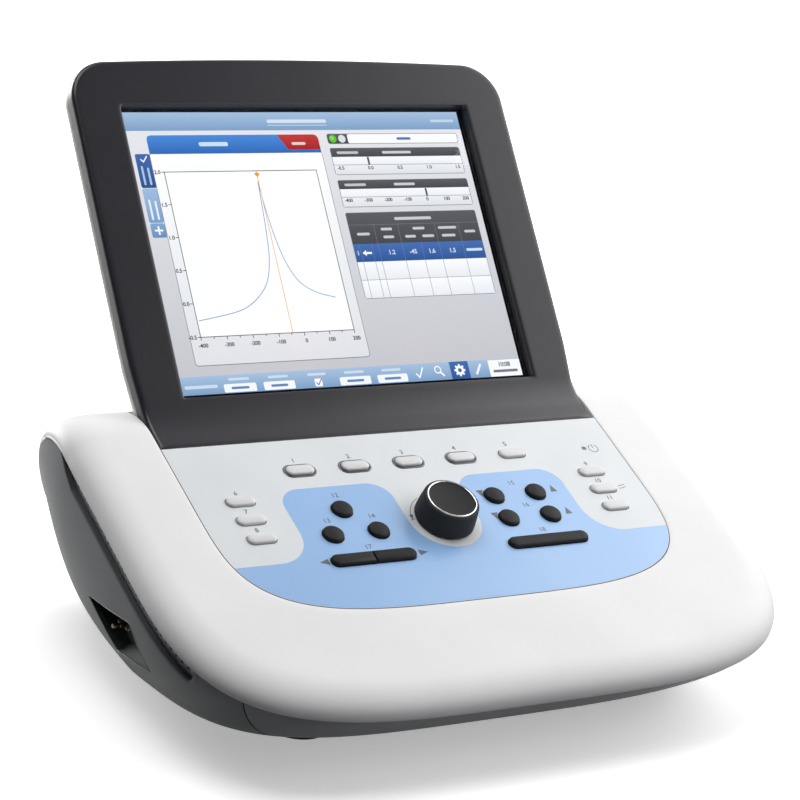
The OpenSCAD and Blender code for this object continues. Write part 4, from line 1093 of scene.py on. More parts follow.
    def vent_strip(self, side: int, node: str) -> None:
        """A thin bar that follows the crease, with a row of square air holes; its light grey is painted
        light on the groove that the white edge shades.

        Args:
            side: -1 for the left and 1 for the right.
            node: The CAD node it stands for.
        """
        form = self.form
        half = self.vent_hole / 2
        centre = self.vent_pitch * np.arange(self.vent_count)
        v = np.sort(np.concatenate([centre - half, centre + half, [-10, -6], centre + self.vent_pitch / 2,
                                    [self.vent_front + 2, self.vent_front + 4]]))[::-1]
        top = -form.edge_drop - self.gap
        h = top - np.array([0, self.hole_drop - half, self.hole_drop + half, 9, self.strip_h])
        bend = np.clip((v - form.nose_v) / (self.vent_front - form.nose_v), 0, 1)
        x = -form.crease_x(v) + form.skin + 0.3 + 1.4 * bend ** 2
        grid = form.deck(x[:, None] * -side, v[:, None], h[None, :])
        middle = (v[1:] + v[:-1]) / 2
        is_hole = (np.abs(middle[:, None] - centre[None, :]) < half).any(1)
        keep = ~(is_hole[:, None] & (np.arange(4) == 1)[None, :])
        strip = thick_sheet(grid, self.strip_t * -side, keep)
        # The pale finish is painted light on the shaded groove.
        make_piece(f"{node}_holes", strip, VENT_PAINTED_LIGHT, [node])

    def pocket_liner(self) -> None:
        """The pocket's lining: straight walls behind, and a shallow ramp at the front tip; a pale tube round
        the mouth is a painted highlight on the rim.
        """
        grid = self.cheek_grid()
        outline = self.rounded_pocket()
        mouth = self.on_cheek(outline, grid)
        middle = outline.mean(0)
        floor = self.pocket_floor + [self.form.seam_y, 0]
        u = np.linspace(0, 1, len(outline) // 4, endpoint=False)[None, :, None]
        deep = lerp(floor[:, None], np.roll(floor, -1, 0)[:, None], u).reshape(-1, 2)
        rings = []
        for t, inset in ((0.0, 0.35), (0.0, 0.7), (0.5, 0.9), (1.0, 1.0)):
            flat = lerp(outline, deep, t)
            toward = middle - flat
            flat = flat + toward / np.linalg.norm(toward, axis=1, keepdims=True) * inset
            x = lerp(mouth[:, 0] + (0.2 if inset < 0.5 else 0.9), self.pocket_x - 0.2, t)
            rings.append(np.c_[x, flat])
        outer = [np.c_[w[:, 0], w[:, 1:] + (w[:, 1:] - middle) * 0.02]
                 for w in (rings[1] + [2.6, 0, 0], rings[-1] + [0.8, 0, 0])]
        make_piece("pocket_lining", capped_body(rings[::-1] + outer), LINING, ["probe_pocket"],
                   angle=35)
        # A thin pale tube along the mouth: painted highlight on the rim.
        a = np.radians(np.arange(0, 360, 60))
        away = (outline - middle) / np.linalg.norm(outline - middle, axis=1, keepdims=True)
        highlight_tube = [np.c_[mouth[:, 0] - 0.28 * math.sin(k), mouth[:, 1:] + away * 0.28 * math.cos(k)] for k in a]
        make_piece("pocket_edge_line", ring_body(highlight_tube), PAINTED_RIM_HIGHLIGHT, angle=60)

    def probe_socket(self) -> None:
        """The brass post with its collar and the two thumb nuts, turned about the sideways axis."""
        y, z = self.form.seam_y + self.socket_y, self.socket_z
        post = np.array([[0, 0], [3.75, 0], [3.75, 1.2], [3.4, 1.6], [1.6, 1.7], [1.6, 5.2], [1.35, 5.5],
                         [1.35, 6.2], [1.6, 6.5], [1.6, 9.2], [1.2, 9.9], [0, 10]])
        nut = np.array([[0, 0], [2.1, 0], [2.2, 0.3], [2.2, 2.0], [1.9, 2.5], [1.1, 2.6], [1.0, 3.8],
                        [0.7, 4], [0, 4]])
        parts = [revolved(profile, lambda a, b, h, y=place: spread(self.pocket_x - h, y + a, z + b), 32)
                 for profile, place in ((post, y), (nut, y - 5), (nut, y + 5))]
        make_piece("probe_post", joined(parts), BRASS, ["probe_socket"], angle=35)

    def build(self) -> None:
        """Builds every cover and finishes the parts below."""
        self.top_cover()
        self.rear_cover()
        self.side_covers()
        self.front_skirt()
        self.vent_strip(-1, "left_vent_strip")
        self.vent_strip(1, "right_vent_strip")
        self.pocket_liner()
        self.probe_socket()
        polish("feet", FOOT, 0.4)
        polish("base_plate", SLATE, 0.5)


def inside_outline(points: Array, outline: Array) -> NDArray[np.bool_]:
    """Tells which points lie inside a closed outline, by counting the edges crossed to the right.

    Args:
        points: Points (y, z) of any leading shape.
        outline: Points of the outline in order.

    Returns:
        One truth value for each point.
    """
    p = points[..., None, :]
    a, b = outline, np.roll(outline, -1, 0)
    spans = (a[:, 1] > p[..., 1]) != (b[:, 1] > p[..., 1])
    rise = np.where(np.abs(b[:, 1] - a[:, 1]) < 1e-9, 1e-9, b[:, 1] - a[:, 1])
    cross = (b[:, 0] - a[:, 0]) * (p[..., 1] - a[:, 1]) / rise + a[:, 0]
    return (spans & (p[..., 0] < cross)).sum(-1) % 2 == 1


def nearest_on_outline(points: Array, outline: Array) -> Array:
    """Moves each point to the nearest place on a closed outline.

    Args:
        points: Points (n, 2).
        outline: Points of the outline in order.

    Returns:
        The moved points.
    """
    a, b = outline[None], np.roll(outline, -1, 0)[None]
    along = ((points[:, None] - a) * (b - a)).sum(-1) / np.maximum(((b - a) ** 2).sum(-1), 1e-12)
    spot = a + (b - a) * np.clip(along, 0, 1)[..., None]
    best = np.argmin(np.linalg.norm(points[:, None] - spot, axis=-1), axis=1)
    return spot[np.arange(len(points)), best]


# Screen


@dataclass
class Screen:
    """Dark bezel, domed white back, gasket, glass and the lit display."""

    form: Form = FORM
    window_w: float = 252.0
    window_h: float = 191.9
    frame_side: float = 30.9
    frame_top: float = 32.7
    foot_half_w: float = 154.9
    foot_w: float = 0.25
    bow: float = 3.4
    corner_r: float = 27.0
    wall: float = 2.9
    depth: float = 8.5
    back_depth: float = 33.0
    back_wall_end: float = 13.5
    back_foot: float = -14.0
    picture_depth: float = 7.95
    side_steps: int = 90
    top_steps: int = 60
    arc_steps: int = 20
    low_steps: int = 41
    window_round: float = 2.5
    window_soft: float = 0.9
    back_inset: float = 0.6
    dome_w: float = 60.0

    @property
    def half_w(self) -> float:
        """Half width of the bezel at the window."""
        return self.window_w / 2 + self.frame_side

    @property
    def top(self) -> float:
        """Upper edge of the bezel on its sheet."""
        return self.form.window_s + self.window_h + self.frame_top

    def side_x(self, w: Array) -> Array:
        """Half width along the sheet: it widens above the deck."""
        return lerp(self.foot_half_w, self.half_w, np.clip((w - 30) / 30, 0, 1))

    def edge_w(self, x: Array) -> Array:
        """The bowed upper edge."""
        return self.top - self.bow * (x / self.half_w) ** 2

    @property
    def corner_w(self) -> float:
        """Place of the bowed upper edge where the corners end."""
        return float(self.edge_w(np.array(self.half_w - self.corner_r)))

    def loop(self, low: float, foot: float, side: Callable[[Array], Array], stop: float, middle: float,
             r: float, top: Callable[[Array], Array]) -> Array:
        """Outline with round upper corners: bottom, right side, corner, top, and both mirrored.

        Args:
            low: Place of the lower edge on the sheet.
            foot: Half width of the lower edge.
            side: Gives the half width at places on the sheet.
            stop: Place where the sides end and the corners start.
            middle: Distance of a corner's centre from the middle line.
            r: Radius of the corners.
            top: Gives the place of the upper edge at distances from the middle line.

        Returns:
            Points (x, w).
        """
        x = np.linspace(-1, 1, self.low_steps) * foot
        bottom = np.c_[x, np.full_like(x, low)]
        w = lerp(low, stop, np.linspace(0, 1, self.side_steps + 2)[1:-1])
        right = np.c_[side(w), w]
        corner = arc_at(middle, stop, r, 0, 90, self.arc_steps)
        x = np.linspace(middle, -middle, self.top_steps)[1:-1]
        return np.concatenate([bottom, right, corner, np.c_[x, top(x)], mirrored(corner), mirrored(right)])

    def plan(self, d: float) -> Array:
        """Bezel outline, as points (x, w), at the distance d inside its edge."""
        stop = self.corner_w - self.corner_r
        return self.loop(self.foot_w + d, self.foot_half_w - d, lambda w: self.side_x(w) - d, stop,
                         self.half_w - self.corner_r, self.corner_r - d, lambda x: self.edge_w(x) - d)

    def window(self, grow: float) -> Array:
        """Window outline grown by a distance, with as many points as the bezel outline."""
        x, r = self.window_w / 2 + grow, self.window_round
        top = self.form.window_s + self.window_h + grow
        return self.loop(self.form.window_s - grow, x, lambda w: np.full_like(w, x), top - r, x - r, r,
                         lambda x: np.full_like(x, top))

    def rear_height(self, w: Array) -> Array:
        """Height of the bezel's back edge: thin in the sweep, full depth on the screen."""
        t = np.clip((w - self.form.sweep_start - 2) / 16, 0, 1)
        return -lerp(self.wall + 0.35, self.depth, t)

    def bezel(self) -> None:
        """The dark frame: rounded outer edge, face with the sweep, window edge, inner wall."""
        edge, soft, r = self.plan(0), self.window_soft, self.wall
        rings = [at_height(edge, self.rear_height(edge[:, 1]))]
        for a in np.radians(np.linspace(0, 90, 9)):
            rings.append(at_height(self.plan(r * (1 - math.cos(a))), -r * (1 - math.sin(a)) * 0.98))
        outer, inner = self.plan(r), self.window(soft)
        rings += [at_height(lerp(outer, inner, t), 0.0) for t in np.linspace(0, 1, 14)[1:]]
        for a in np.radians((30, 60, 90)):
            rings.append(at_height(self.window(soft * (1 - math.sin(a))), -soft * (1 - math.cos(a))))
        rings.append(at_height(self.window(0), -r))
        rings += [at_height(lerp(outer, inner, t), -r) for t in (0.75, 0.5, 0.25, 0)]
        rings.append(at_height(outer, self.rear_height(outer[:, 1])))
        make_piece("bezel_shell", ring_body(rings, self.form.sheet), CHARCOAL, ["screen_bezel"],
                   angle=50)

    def back_plan(self, d: float) -> Array:
        """Outline of the back cover at the distance d inside its edge."""
        inset = d + self.back_inset
        r = max(5.0, self.corner_r - inset)
        return self.loop(self.form.window_s + self.back_foot + d, self.foot_half_w - inset,
                         lambda w: self.side_x(w - d) - inset, self.corner_w - inset - r,
                         self.half_w - inset - r, r, lambda x: self.edge_w(x) - inset)

    def back_ring(self, d: float, h: float, swell: float) -> Array:
        """Ring of the back cover: it swells less near its foot."""
        plan = self.back_plan(d)
        share = lerp(0.45, 1.0, np.clip((plan[:, 1] - self.form.window_s - self.back_foot) / 100, 0, 1))
        return self.form.screen(plan[:, 0], plan[:, 1], -h - swell * share)

    def back_cover(self) -> None:
        """The domed white back; its height rises with the sine of the angle to the power 1.4."""
        dome, width, skin = self.back_depth - self.back_wall_end, self.dome_w, self.form.skin
        rings = [self.back_ring(width * (1 - math.cos(a)), self.back_wall_end, dome * math.sin(a) ** 1.4)
                 for a in np.radians(np.linspace(90, 4, 20))]
        low = self.depth + 0.4
        rings += [self.back_ring(d, h, 0)
                  for d, h in ((0, self.back_wall_end), (0, low + 0.5), (0.5, low), (skin, low))]
        rings += [self.back_ring(width * (1 - math.cos(a)) + skin, self.back_wall_end,
                                 dome * math.sin(a) ** 1.4 - skin) for a in np.radians([30, 50, 70, 90])]
        make_piece("back_shell", capped_body(rings), BACK_WHITE, ["screen_back_cover"],
                   angle=50)

    def glazing(self) -> None:
        """Gasket and glass keep the CAD shapes."""
        polish("window_gasket", BLACK, 0.0)
        polish("window_glass", GLASS, 0.0)

    def build(self) -> None:
        """Builds the screen and its picture."""
        self.bezel()
        self.back_cover()
        self.glazing()
        DisplayPicture(self).build()


class Artwork:
    """Flat shapes in plane coordinates, gathered into one mesh with a colour for each point."""

    def __init__(self, place: Callable[[Array], Array], boldness: float = 0.01) -> None:
        """Starts an empty drawing.

        Args:
            place: Takes points (u, v, layer) to the row frame.
            boldness: How much thicker the numbers are, as a share of their height.
        """
        self.boldness = boldness
        self.place = place
        self.points: list[Array] = []
        self.tints: list[Array] = []
        self.faces: Faces = []
        self.count = 0

    def shape(self, outline: ArrayLike, tint: Rgb, layer: float, faces: Faces | None = None,
              low: Rgb | None = None) -> None:
        """Adds a flat shape.

        Args:
            outline: Points (u, v).
            tint: Its colour, or the colour at its top.
            layer: Which layer it lies on.
            faces: Its faces, or one face of all points when None.
            low: The colour at its bottom for a gradient.
        """
        outline = np.asarray(outline, float)
        v = outline[:, 1]
        t = (v - v.min()) / max(np.ptp(v), 1e-6)
        top, bottom = np.array(linear(tint)), np.array(linear(low or tint))
        self.points.append(at_height(outline, layer))
        self.tints.append(lerp(top, bottom, t[:, None]))
        faces = faces or [tuple(range(len(outline)))]
        self.faces += [tuple(i + self.count for i in f) for f in faces]
        self.count += len(outline)

    def box(self, u0: float, v0: float, u1: float, v1: float, tint: Rgb, layer: float,
            radius: float = 0.0, low: Rgb | None = None) -> None:
        """Adds a box with rounded corners.

        Args:
            u0: Left side.
            v0: Top side.
            u1: Right side.
            v1: Bottom side.
            tint: Its colour, or the colour at its top.
            layer: Which layer it lies on.
            radius: Radius of its corners.
            low: The colour at its bottom for a gradient.
        """
        if radius <= 0:
            self.shape([[u0, v0], [u1, v0], [u1, v1], [u0, v1]], tint, layer, low=low)
            return
        left, top, right, bottom = u0 + radius, v0 + radius, u1 - radius, v1 - radius
        corners = ((left, top, 180), (right, top, 270), (right, bottom, 0), (left, bottom, 90))
        self.shape(np.concatenate([arc_at(u, v, radius, a, a + 90, 5) for u, v, a in corners]), tint, layer,
                   low=low)

    def frame(self, u0: float, v0: float, u1: float, v1: float, tint: Rgb, layer: float,
              width: float) -> None:
        """Adds the outline of a box as a closed stroke."""
        self.stroke([[u0, v0], [u1, v0], [u1, v1], [u0, v1], [u0, v0 - width / 2]], width, tint, layer)

    def disc(self, u: float, v: float, r: float, tint: Rgb, layer: float) -> None:
        """Adds a round dot."""
        self.shape(circle_at(u, v, r, 24), tint, layer)

    def stroke(self, path: ArrayLike, width: float, tint: Rgb, layer: float) -> None:
        """Adds a line of even width along a path: each side is the path moved along its normal.

        Args:
            path: Points (u, v).
            width: Width of the line.
            tint: Its colour.
            layer: Which layer it lies on.
        """
        path = np.asarray(path, float)
        step = np.diff(path, axis=0)
        step /= np.maximum(np.linalg.norm(step, axis=1, keepdims=True), 1e-9)
        mean = np.concatenate([step[:1], step[1:] + step[:-1], step[-1:]])
        mean /= np.maximum(np.linalg.norm(mean, axis=1, keepdims=True), 1e-9)
        normal = np.c_[-mean[:, 1], mean[:, 0]]
        mitre = 1 / np.maximum(np.abs((np.concatenate([step[:1], step]) * mean).sum(1)), 0.5)
        side = normal * (width / 2 * mitre)[:, None]
        points = np.stack([path + side, path - side], 1).reshape(-1, 2)
        k = np.arange(len(path) - 1) * 2
        faces = [tuple(f) for f in np.stack([k, k + 1, k + 3, k + 2], 1).tolist()]
        self.shape(points, tint, layer, faces)

    def number(self, text: str, u: float, v: float, size: float, tint: Rgb, layer: float,
               align: str = "CENTER") -> None:
        """Adds a plain number.

        Args:
            text: Digits, a sign or a point.
            u: Place of its middle, or of its end for another alignment.
            v: Place of its middle line.
            size: Height of the font.
            tint: Its colour.
            layer: Which layer it lies on.
            align: Blender's name of the alignment.
        """
        curve = bpy.data.curves.new("digits", "FONT")
        curve.body, curve.size, curve.align_x, curve.resolution_u = text, size, align, 3
        curve.offset = self.boldness * size
        points, faces = object_arrays(put("digits", curve))
        flat = np.c_[points[:, 0] + u, v + size * 0.34 - points[:, 1]]
        self.shape(flat, tint, layer, [f[::-1] for f in faces])

    def piece(self, name: str, finish: Coating, slot: str) -> None:
        """Makes the mesh, with the colours as the attribute tint, facing away from the surface."""
        shell = self.place(np.concatenate(self.points)), self.faces
        made = make_piece(name, shell, finish, closed=False)
        tint = made.data.attributes.new("tint", "FLOAT_COLOR", "POINT")
        tint.data.foreach_set("color", np.concatenate(self.tints).ravel())
        origin, across, up = self.place(np.array([[0.0, 0, 0], [1, 0, 0], [0, -1, 0]]))
        out = np.cross(across - origin, up - origin)
        work = bmesh.new()
        work.from_mesh(made.data)
        wrong = [f for f in work.faces if np.dot(np.array(f.normal), out) < 0]
        bmesh.ops.reverse_faces(work, faces=wrong)
        work.to_mesh(made.data)
        work.free()


def smooth_path(points: Array, count: int) -> Array:
    """Curve through points: cubic stretches whose slopes come from the neighbours (Catmull-Rom).

    Args:
        points: Points (n, 2).
        count: Steps in each stretch.

    Returns:
        Points of the curve.
    """
    p = np.concatenate([points[:1] * 2 - points[1:2], points, points[-1:] * 2 - points[-2:-1]])
    t = np.linspace(0, 1, count, endpoint=False)[None, :, None]
    a, b, c, d = (p[k:len(p) - 3 + k, None] for k in range(4))
    curve = b + ((c - a) * t + (2 * a - 5 * b + 4 * c - d) * t ** 2 + (3 * b - a - 3 * c + d) * t ** 3) / 2
    return np.concatenate([curve.reshape(-1, 2), points[-1:]])


@dataclass
class DisplayPicture:
    """The lit picture: bars, tabs, a graph with one curve, two gauges and a table.

    Places are in millimetres from the picture's upper left corner. Words are left out: plain bars
    stand in their places.
    """

    screen: Screen
    width: float = 246.0
    height: float = 184.5
    rise: float = 2.4
    layer_step: float = 0.02
    boldness: float = 0.025
    left: float = 142.8
    right: float = 240.8
    plot: float = 108.0
    bar_top: Rgb = (168, 193, 222)
    bar_low: Rgb = (126, 160, 199)
    line: Rgb = (128, 128, 134)
    head: Rgb = (92, 92, 97)
    head_low: Rgb = (70, 70, 75)
    pale: Rgb = (206, 220, 237)
    button: Rgb = (246, 247, 250)
    stripe: Rgb = (214, 226, 240)
    paper: Rgb = (252, 252, 254)
    ink: Rgb = (62, 62, 68)
    digits: Rgb = (28, 28, 34)
    art: Artwork = field(init=False)

    def __post_init__(self) -> None:
        """Sets up the plane of the picture."""
        form = self.screen.form
        left, top = -self.width / 2, form.window_s + self.screen.window_h / 2 + self.height / 2 + self.rise
        stretch = 1 + self.rise / self.height

        def place(p: Array) -> Array:
            return form.screen(left + p[:, 0], top - p[:, 1] * stretch,
                               -self.screen.picture_depth + p[:, 2] * self.layer_step)

        self.art = Artwork(place, self.boldness)

    def bars(self) -> None:
        """Background, upper and lower bar, with plain stripes in place of words."""
        art, w, h = self.art, self.width, self.height
        art.box(-2.4, -2.9, w + 2.4, h + 2.9, (6, 6, 8), -1)
        art.box(0, 0, w, h, (233, 233, 238), 0, low=(198, 197, 203))
        art.box(0, 0, w, 12.6, self.bar_top, 1, low=self.bar_low)
        art.box(0, 172.9, w, h, self.bar_top, 1, low=self.bar_low)
        art.box(101, 5.2, 144.6, 7.6, self.stripe, 2, 1)
        art.box(101, 9.0, 144.6, 9.4, self.stripe, 2)
        art.box(224, 5.6, 242, 7.4, (196, 212, 232), 2, 0.9)
        for u0, u1 in ((29, 51.3), (56.4, 78.2), (110.2, 132.5), (137.5, 159.5)):
            art.box(u0, 178.7, u1, 184.0, self.button, 2, 0.9)
            art.box(u0 + 5, 180.6, u1 - 5, 182.2, (96, 134, 184), 3, 0.7)
            art.box(u0 + 4, 175.0, u1 - 4, 176.6, self.pale, 2, 0.7)
        art.box(2.5, 178.6, 25, 180.6, self.pale, 2, 0.9)
        art.box(88, 175.0, 101, 176.6, self.pale, 2, 0.7)
        art.box(92.2, 178.6, 97.5, 183.7, self.button, 2, 0.7)
        art.stroke([[93.2, 181], [94.6, 182.6], [97.4, 178.8]], 0.6, (60, 100, 170), 3)

    def icons(self) -> None:
        """Tick, magnifier, gear and pencil, and the white box at the right."""
        art, white = self.art, (246, 249, 252)
        art.stroke([[166.2, 179.2], [168.4, 181.9], [172.0, 175.4]], 0.95, white, 2)
        art.stroke(arc_at(182.8, 177.6, 2.2, 0, 360, 25), 0.8, white, 2)
        art.stroke([[184.4, 179.2], [187.0, 182.0]], 1.2, white, 2)
        art.box(192.2, 172.9, 206.3, self.height, (66, 108, 176), 2, low=(48, 88, 156))
        a = np.linspace(0, 2 * math.pi, 97)[:-1]
        r = np.where(np.cos(8 * a) > 0, 4.1, 3.1)
        art.shape(np.stack([199.2 + r * np.cos(a), 178.8 + r * np.sin(a)], 1), white, 3)
        art.disc(199.2, 178.8, 1.35, (56, 98, 166), 4)
        art.stroke([[211.2, 182.2], [215.6, 175.6]], 1.5, white, 2)
        art.box(221.6, 173.4, self.width, self.height, (250, 250, 252), 2)
        art.number("10:08", 233.6, 176.4, 4.2, (70, 70, 76), 3)
        art.box(224.4, 180.0, 243.0, 181.8, (120, 122, 130), 3, 0.6)

    def graph(self) -> None:
        """Tabs, plot frame with its numbers, the curve, and the upright line."""
        art = self.art
        art.box(13.2, 27.4, 136.2, 166.6, self.line, 1, 2.4)
        art.box(13.6, 27.6, 135.8, 166.1, (255, 255, 255), 2, 2.0, low=(226, 226, 231))
        art.shape([[13.6, 28.2], [13.6, 18.4], [14.4, 16.4], [16.6, 15.6], [106, 15.6], [112.2, 25.9],
                   [135.8, 25.9], [135.8, 28.2]], (74, 138, 218), 3, low=(50, 104, 182))
        art.shape([[106, 15.6], [132.8, 15.6], [134.9, 16.4], [135.8, 18.6], [135.8, 25.9],
                   [112.2, 25.9]], (198, 58, 58), 3, low=(166, 36, 40))
        art.box(49, 20.4, 69.6, 23.2, (206, 224, 246), 4, 1.2)
        art.box(115.4, 20.9, 125.6, 22.8, (238, 206, 206), 4, 0.9)
        left, top = 20.8, 40.2
        right, bottom = left + self.plot, top + self.plot
        art.box(left, top, right, bottom, (255, 255, 255), 3)
        art.frame(left, top, right, bottom, self.ink, 4, 0.5)
        for k in range(6):
            v = top + self.plot / 5 * k
            art.stroke([[left - 2, v], [left, v]], 0.5, self.ink, 4)
            art.number(f"{2 - k / 2:.1f}", left - 2.6, v, 3.6, self.digits, 4, "RIGHT")
        for k in range(13):
            u = left + self.plot / 12 * k
            art.stroke([[u, bottom], [u, bottom + (1.4 if k % 2 else 2.2)]], 0.5, self.ink, 4)
            if k % 2 == 0:
                art.number(str(-400 + 50 * k), u + 0.6, bottom + 5.4, 3.6, self.digits, 4)
        rising = [[22, 137.7], [45.7, 133.8], [57.9, 129.9], [68.4, 122.4], [75.6, 113.2], [80.2, 99.2],
                  [82.4, 82], [83.6, 66], [84.7, 47.5]]
        falling = [[84.7, 47.5], [85.7, 66], [88, 86.6], [91.9, 103.4], [98.4, 115.6], [108.9, 122.6],
                   [121, 126.2]]
        for branch in (rising, falling):
            art.stroke(smooth_path(np.array(branch), 10), 0.55, (112, 154, 212), 4)
        art.stroke([[85.2, 40.4], [84.8, 148.0]], 0.5, (236, 172, 76), 5)
        art.shape([[83.2, 42.4], [85.2, 40.8], [87.2, 42.4], [85.2, 44.6]], (236, 158, 48), 6)

    def side_tabs(self) -> None:
        """The three small tabs left of the graph."""
        art = self.art
        art.box(3.2, 28.0, 13.5, 50.5, (66, 104, 170), 1, 1.2, low=(46, 82, 146))
        art.box(3.2, 50.9, 13.2, 73.4, (158, 188, 222), 1, 1.2, low=(122, 158, 200))
        art.box(3.4, 73.8, 13.2, 83.2, (134, 168, 208), 1, 1.2, low=(104, 142, 190))
        art.stroke([[6.4, 31.4], [8.2, 33.2], [11.2, 29.4]], 0.8, (244, 248, 252), 2)
        for v0, v1, tint in ((36, 48.6, (176, 196, 226)), (58, 71.6, (226, 236, 246))):
            art.box(5.6, v0, 7.0, v1, tint, 2, 0.6)
            art.box(9.6, v0 + 1, 11.0, v1, tint, 2, 0.6)
        art.box(5.8, 77.9, 11.4, 79.1, (246, 250, 253), 2)
        art.box(8.0, 75.7, 9.2, 81.3, (246, 250, 253), 3)

    def gauge(self, top: float, numbers: Sequence[str], marker: float, bar: tuple[float, float]) -> None:
        """One gauge: dark header, white band with a marker, and a row of numbers.

        Args:
            top: Its upper side.
            numbers: The numbers below the band, evenly spaced.
            marker: Place of the marker.
            bar: Both ends of the stripe that stands for the header's words.
        """
        art = self.art
        art.box(142.4, top - 0.4, 241.2, top + 18.4, self.line, 1, 1.4)
        art.box(self.left, top + 5.8, self.right, top + 18.0, (250, 250, 253), 2, low=(226, 226, 232))
        art.box(self.left, top, self.right, top + 5.9, self.head, 3, low=self.head_low)
        art.box(self.left, top + 11.3, self.right, top + 11.7, (150, 150, 156), 3)
        art.box(marker - 0.7, top + 6.1, marker + 0.7, top + 11.6, (74, 74, 80), 4)
        art.box(147, top + 2.1, 163, top + 3.9, (196, 196, 200), 4, 0.8)
        art.box(bar[0], top + 2.1, bar[1], top + 3.9, (206, 206, 210), 4, 0.8)
        for u, text in zip(np.linspace(147.5, 236.5, len(numbers)), numbers):
            art.number(text, float(u), top + 13.6, 3.3, self.digits, 4)

    def status(self) -> None:
        """The two lamps and the white status box."""
        art = self.art
        art.box(142.4, 15.2, 241.9, 22.4, self.line, 1, 1.6)
        art.box(self.left, 15.6, 158.4, 22.0, self.head, 2, 1.4, low=self.head_low)
        art.box(157.6, 15.6, 241.5, 22.0, self.paper, 3, 1.2)
        art.disc(146.5, 18.8, 2.7, (96, 196, 44), 4)
        art.disc(146.1, 18.2, 1.3, (140, 220, 96), 5)
        art.disc(153.3, 18.8, 2.7, (224, 224, 226), 4)
        art.box(194.6, 18.0, 205.4, 19.8, (84, 116, 174), 4, 0.8)

    def table(self) -> None:
        """The table: dark header, one blue row with numbers and two empty rows."""
        art = self.art
        art.box(142.4, 69.8, 241.2, 128.3, self.line, 1, 1.4)
        art.box(self.left, 70.2, self.right, 91.3, self.head, 2, low=(72, 72, 77))
        art.box(self.left, 91.3, self.right, 103.5, (70, 110, 178), 2, low=(46, 86, 152))
        art.box(self.left, 103.5, self.right, 115.6, self.paper, 2, low=(236, 236, 242))
        art.box(self.left, 115.9, self.right, 127.9, self.paper, 2, low=(236, 236, 242))
        columns = (147.3, 156.3, 161.2, 179.2, 193.7, 207.3, 225.3)
        for u in columns:
            art.box(u - 0.17, 103.5, u + 0.17, 127.9, (140, 140, 146), 3)
            art.box(u - 0.15, 91.3, u + 0.15, 103.5, (110, 128, 160), 3)
        rule = (122, 122, 128)
        for u in (161.2, 179.2, 207.3, 225.3):
            art.box(u - 0.15, 78.4, u + 0.15, 91.3, rule, 3)
        art.box(self.left, 78.2, self.right, 78.5, rule, 3)
        light = (204, 204, 208)
        art.box(178, 73.6, 206, 75.6, light, 3, 0.9)
        for u0, u1, v in ((147.5, 157, 84.6), (166, 174.4, 81.6), (166.6, 174.6, 87), (190, 199, 81.6),
                          (183, 191, 87), (196, 205, 87), (209.4, 223.4, 81.6), (211, 221.4, 87),
                          (229, 237.4, 84.6)):
            art.box(u0, v - 0.9, u1, v + 0.9, light, 3, 0.8)
        row = (214, 226, 244)
        for text, u in (("1", 145.2), ("1.2", 170.2), ("-45", 186.4), ("1.6", 200.5), ("1.5", 216.3)):
            art.number(text, u, 97.4, 4.2, row, 3)
        art.box(227, 96.5, 239.4, 98.3, row, 3, 0.8)
        art.box(150, 96.8, 155.2, 98.2, (246, 249, 253), 3)
        art.shape([[148.2, 97.5], [151.2, 95.5], [151.2, 99.5]], (246, 249, 253), 4)

    def build(self) -> None:
        """Draws everything and makes the piece."""
        self.bars()
        self.icons()
        self.graph()
        self.side_tabs()
        self.status()
        self.gauge(25.5, ("-0.5", "0.0", "0.5", "1.0", "1.5"), 169.3, (181, 203))
        self.gauge(47.8, ("-400", "-300", "-200", "-100", "0", "100", "200"), 207.3, (184, 200))
        self.table()
        self.art.piece("display_picture", LIT, "display")
        repaint("lcd_module", BLACK)


# Control panel, keys and knob


class KeyTone(Enum):
    """The two kinds of key."""

    GREY = "grey_key"
    BLACK = "black_key"


class Aim(Enum):
    """Where a printed triangle points, as its turn in degrees."""

    LEFT = 0
    UP = 90
    RIGHT = 180
    DOWN = 270


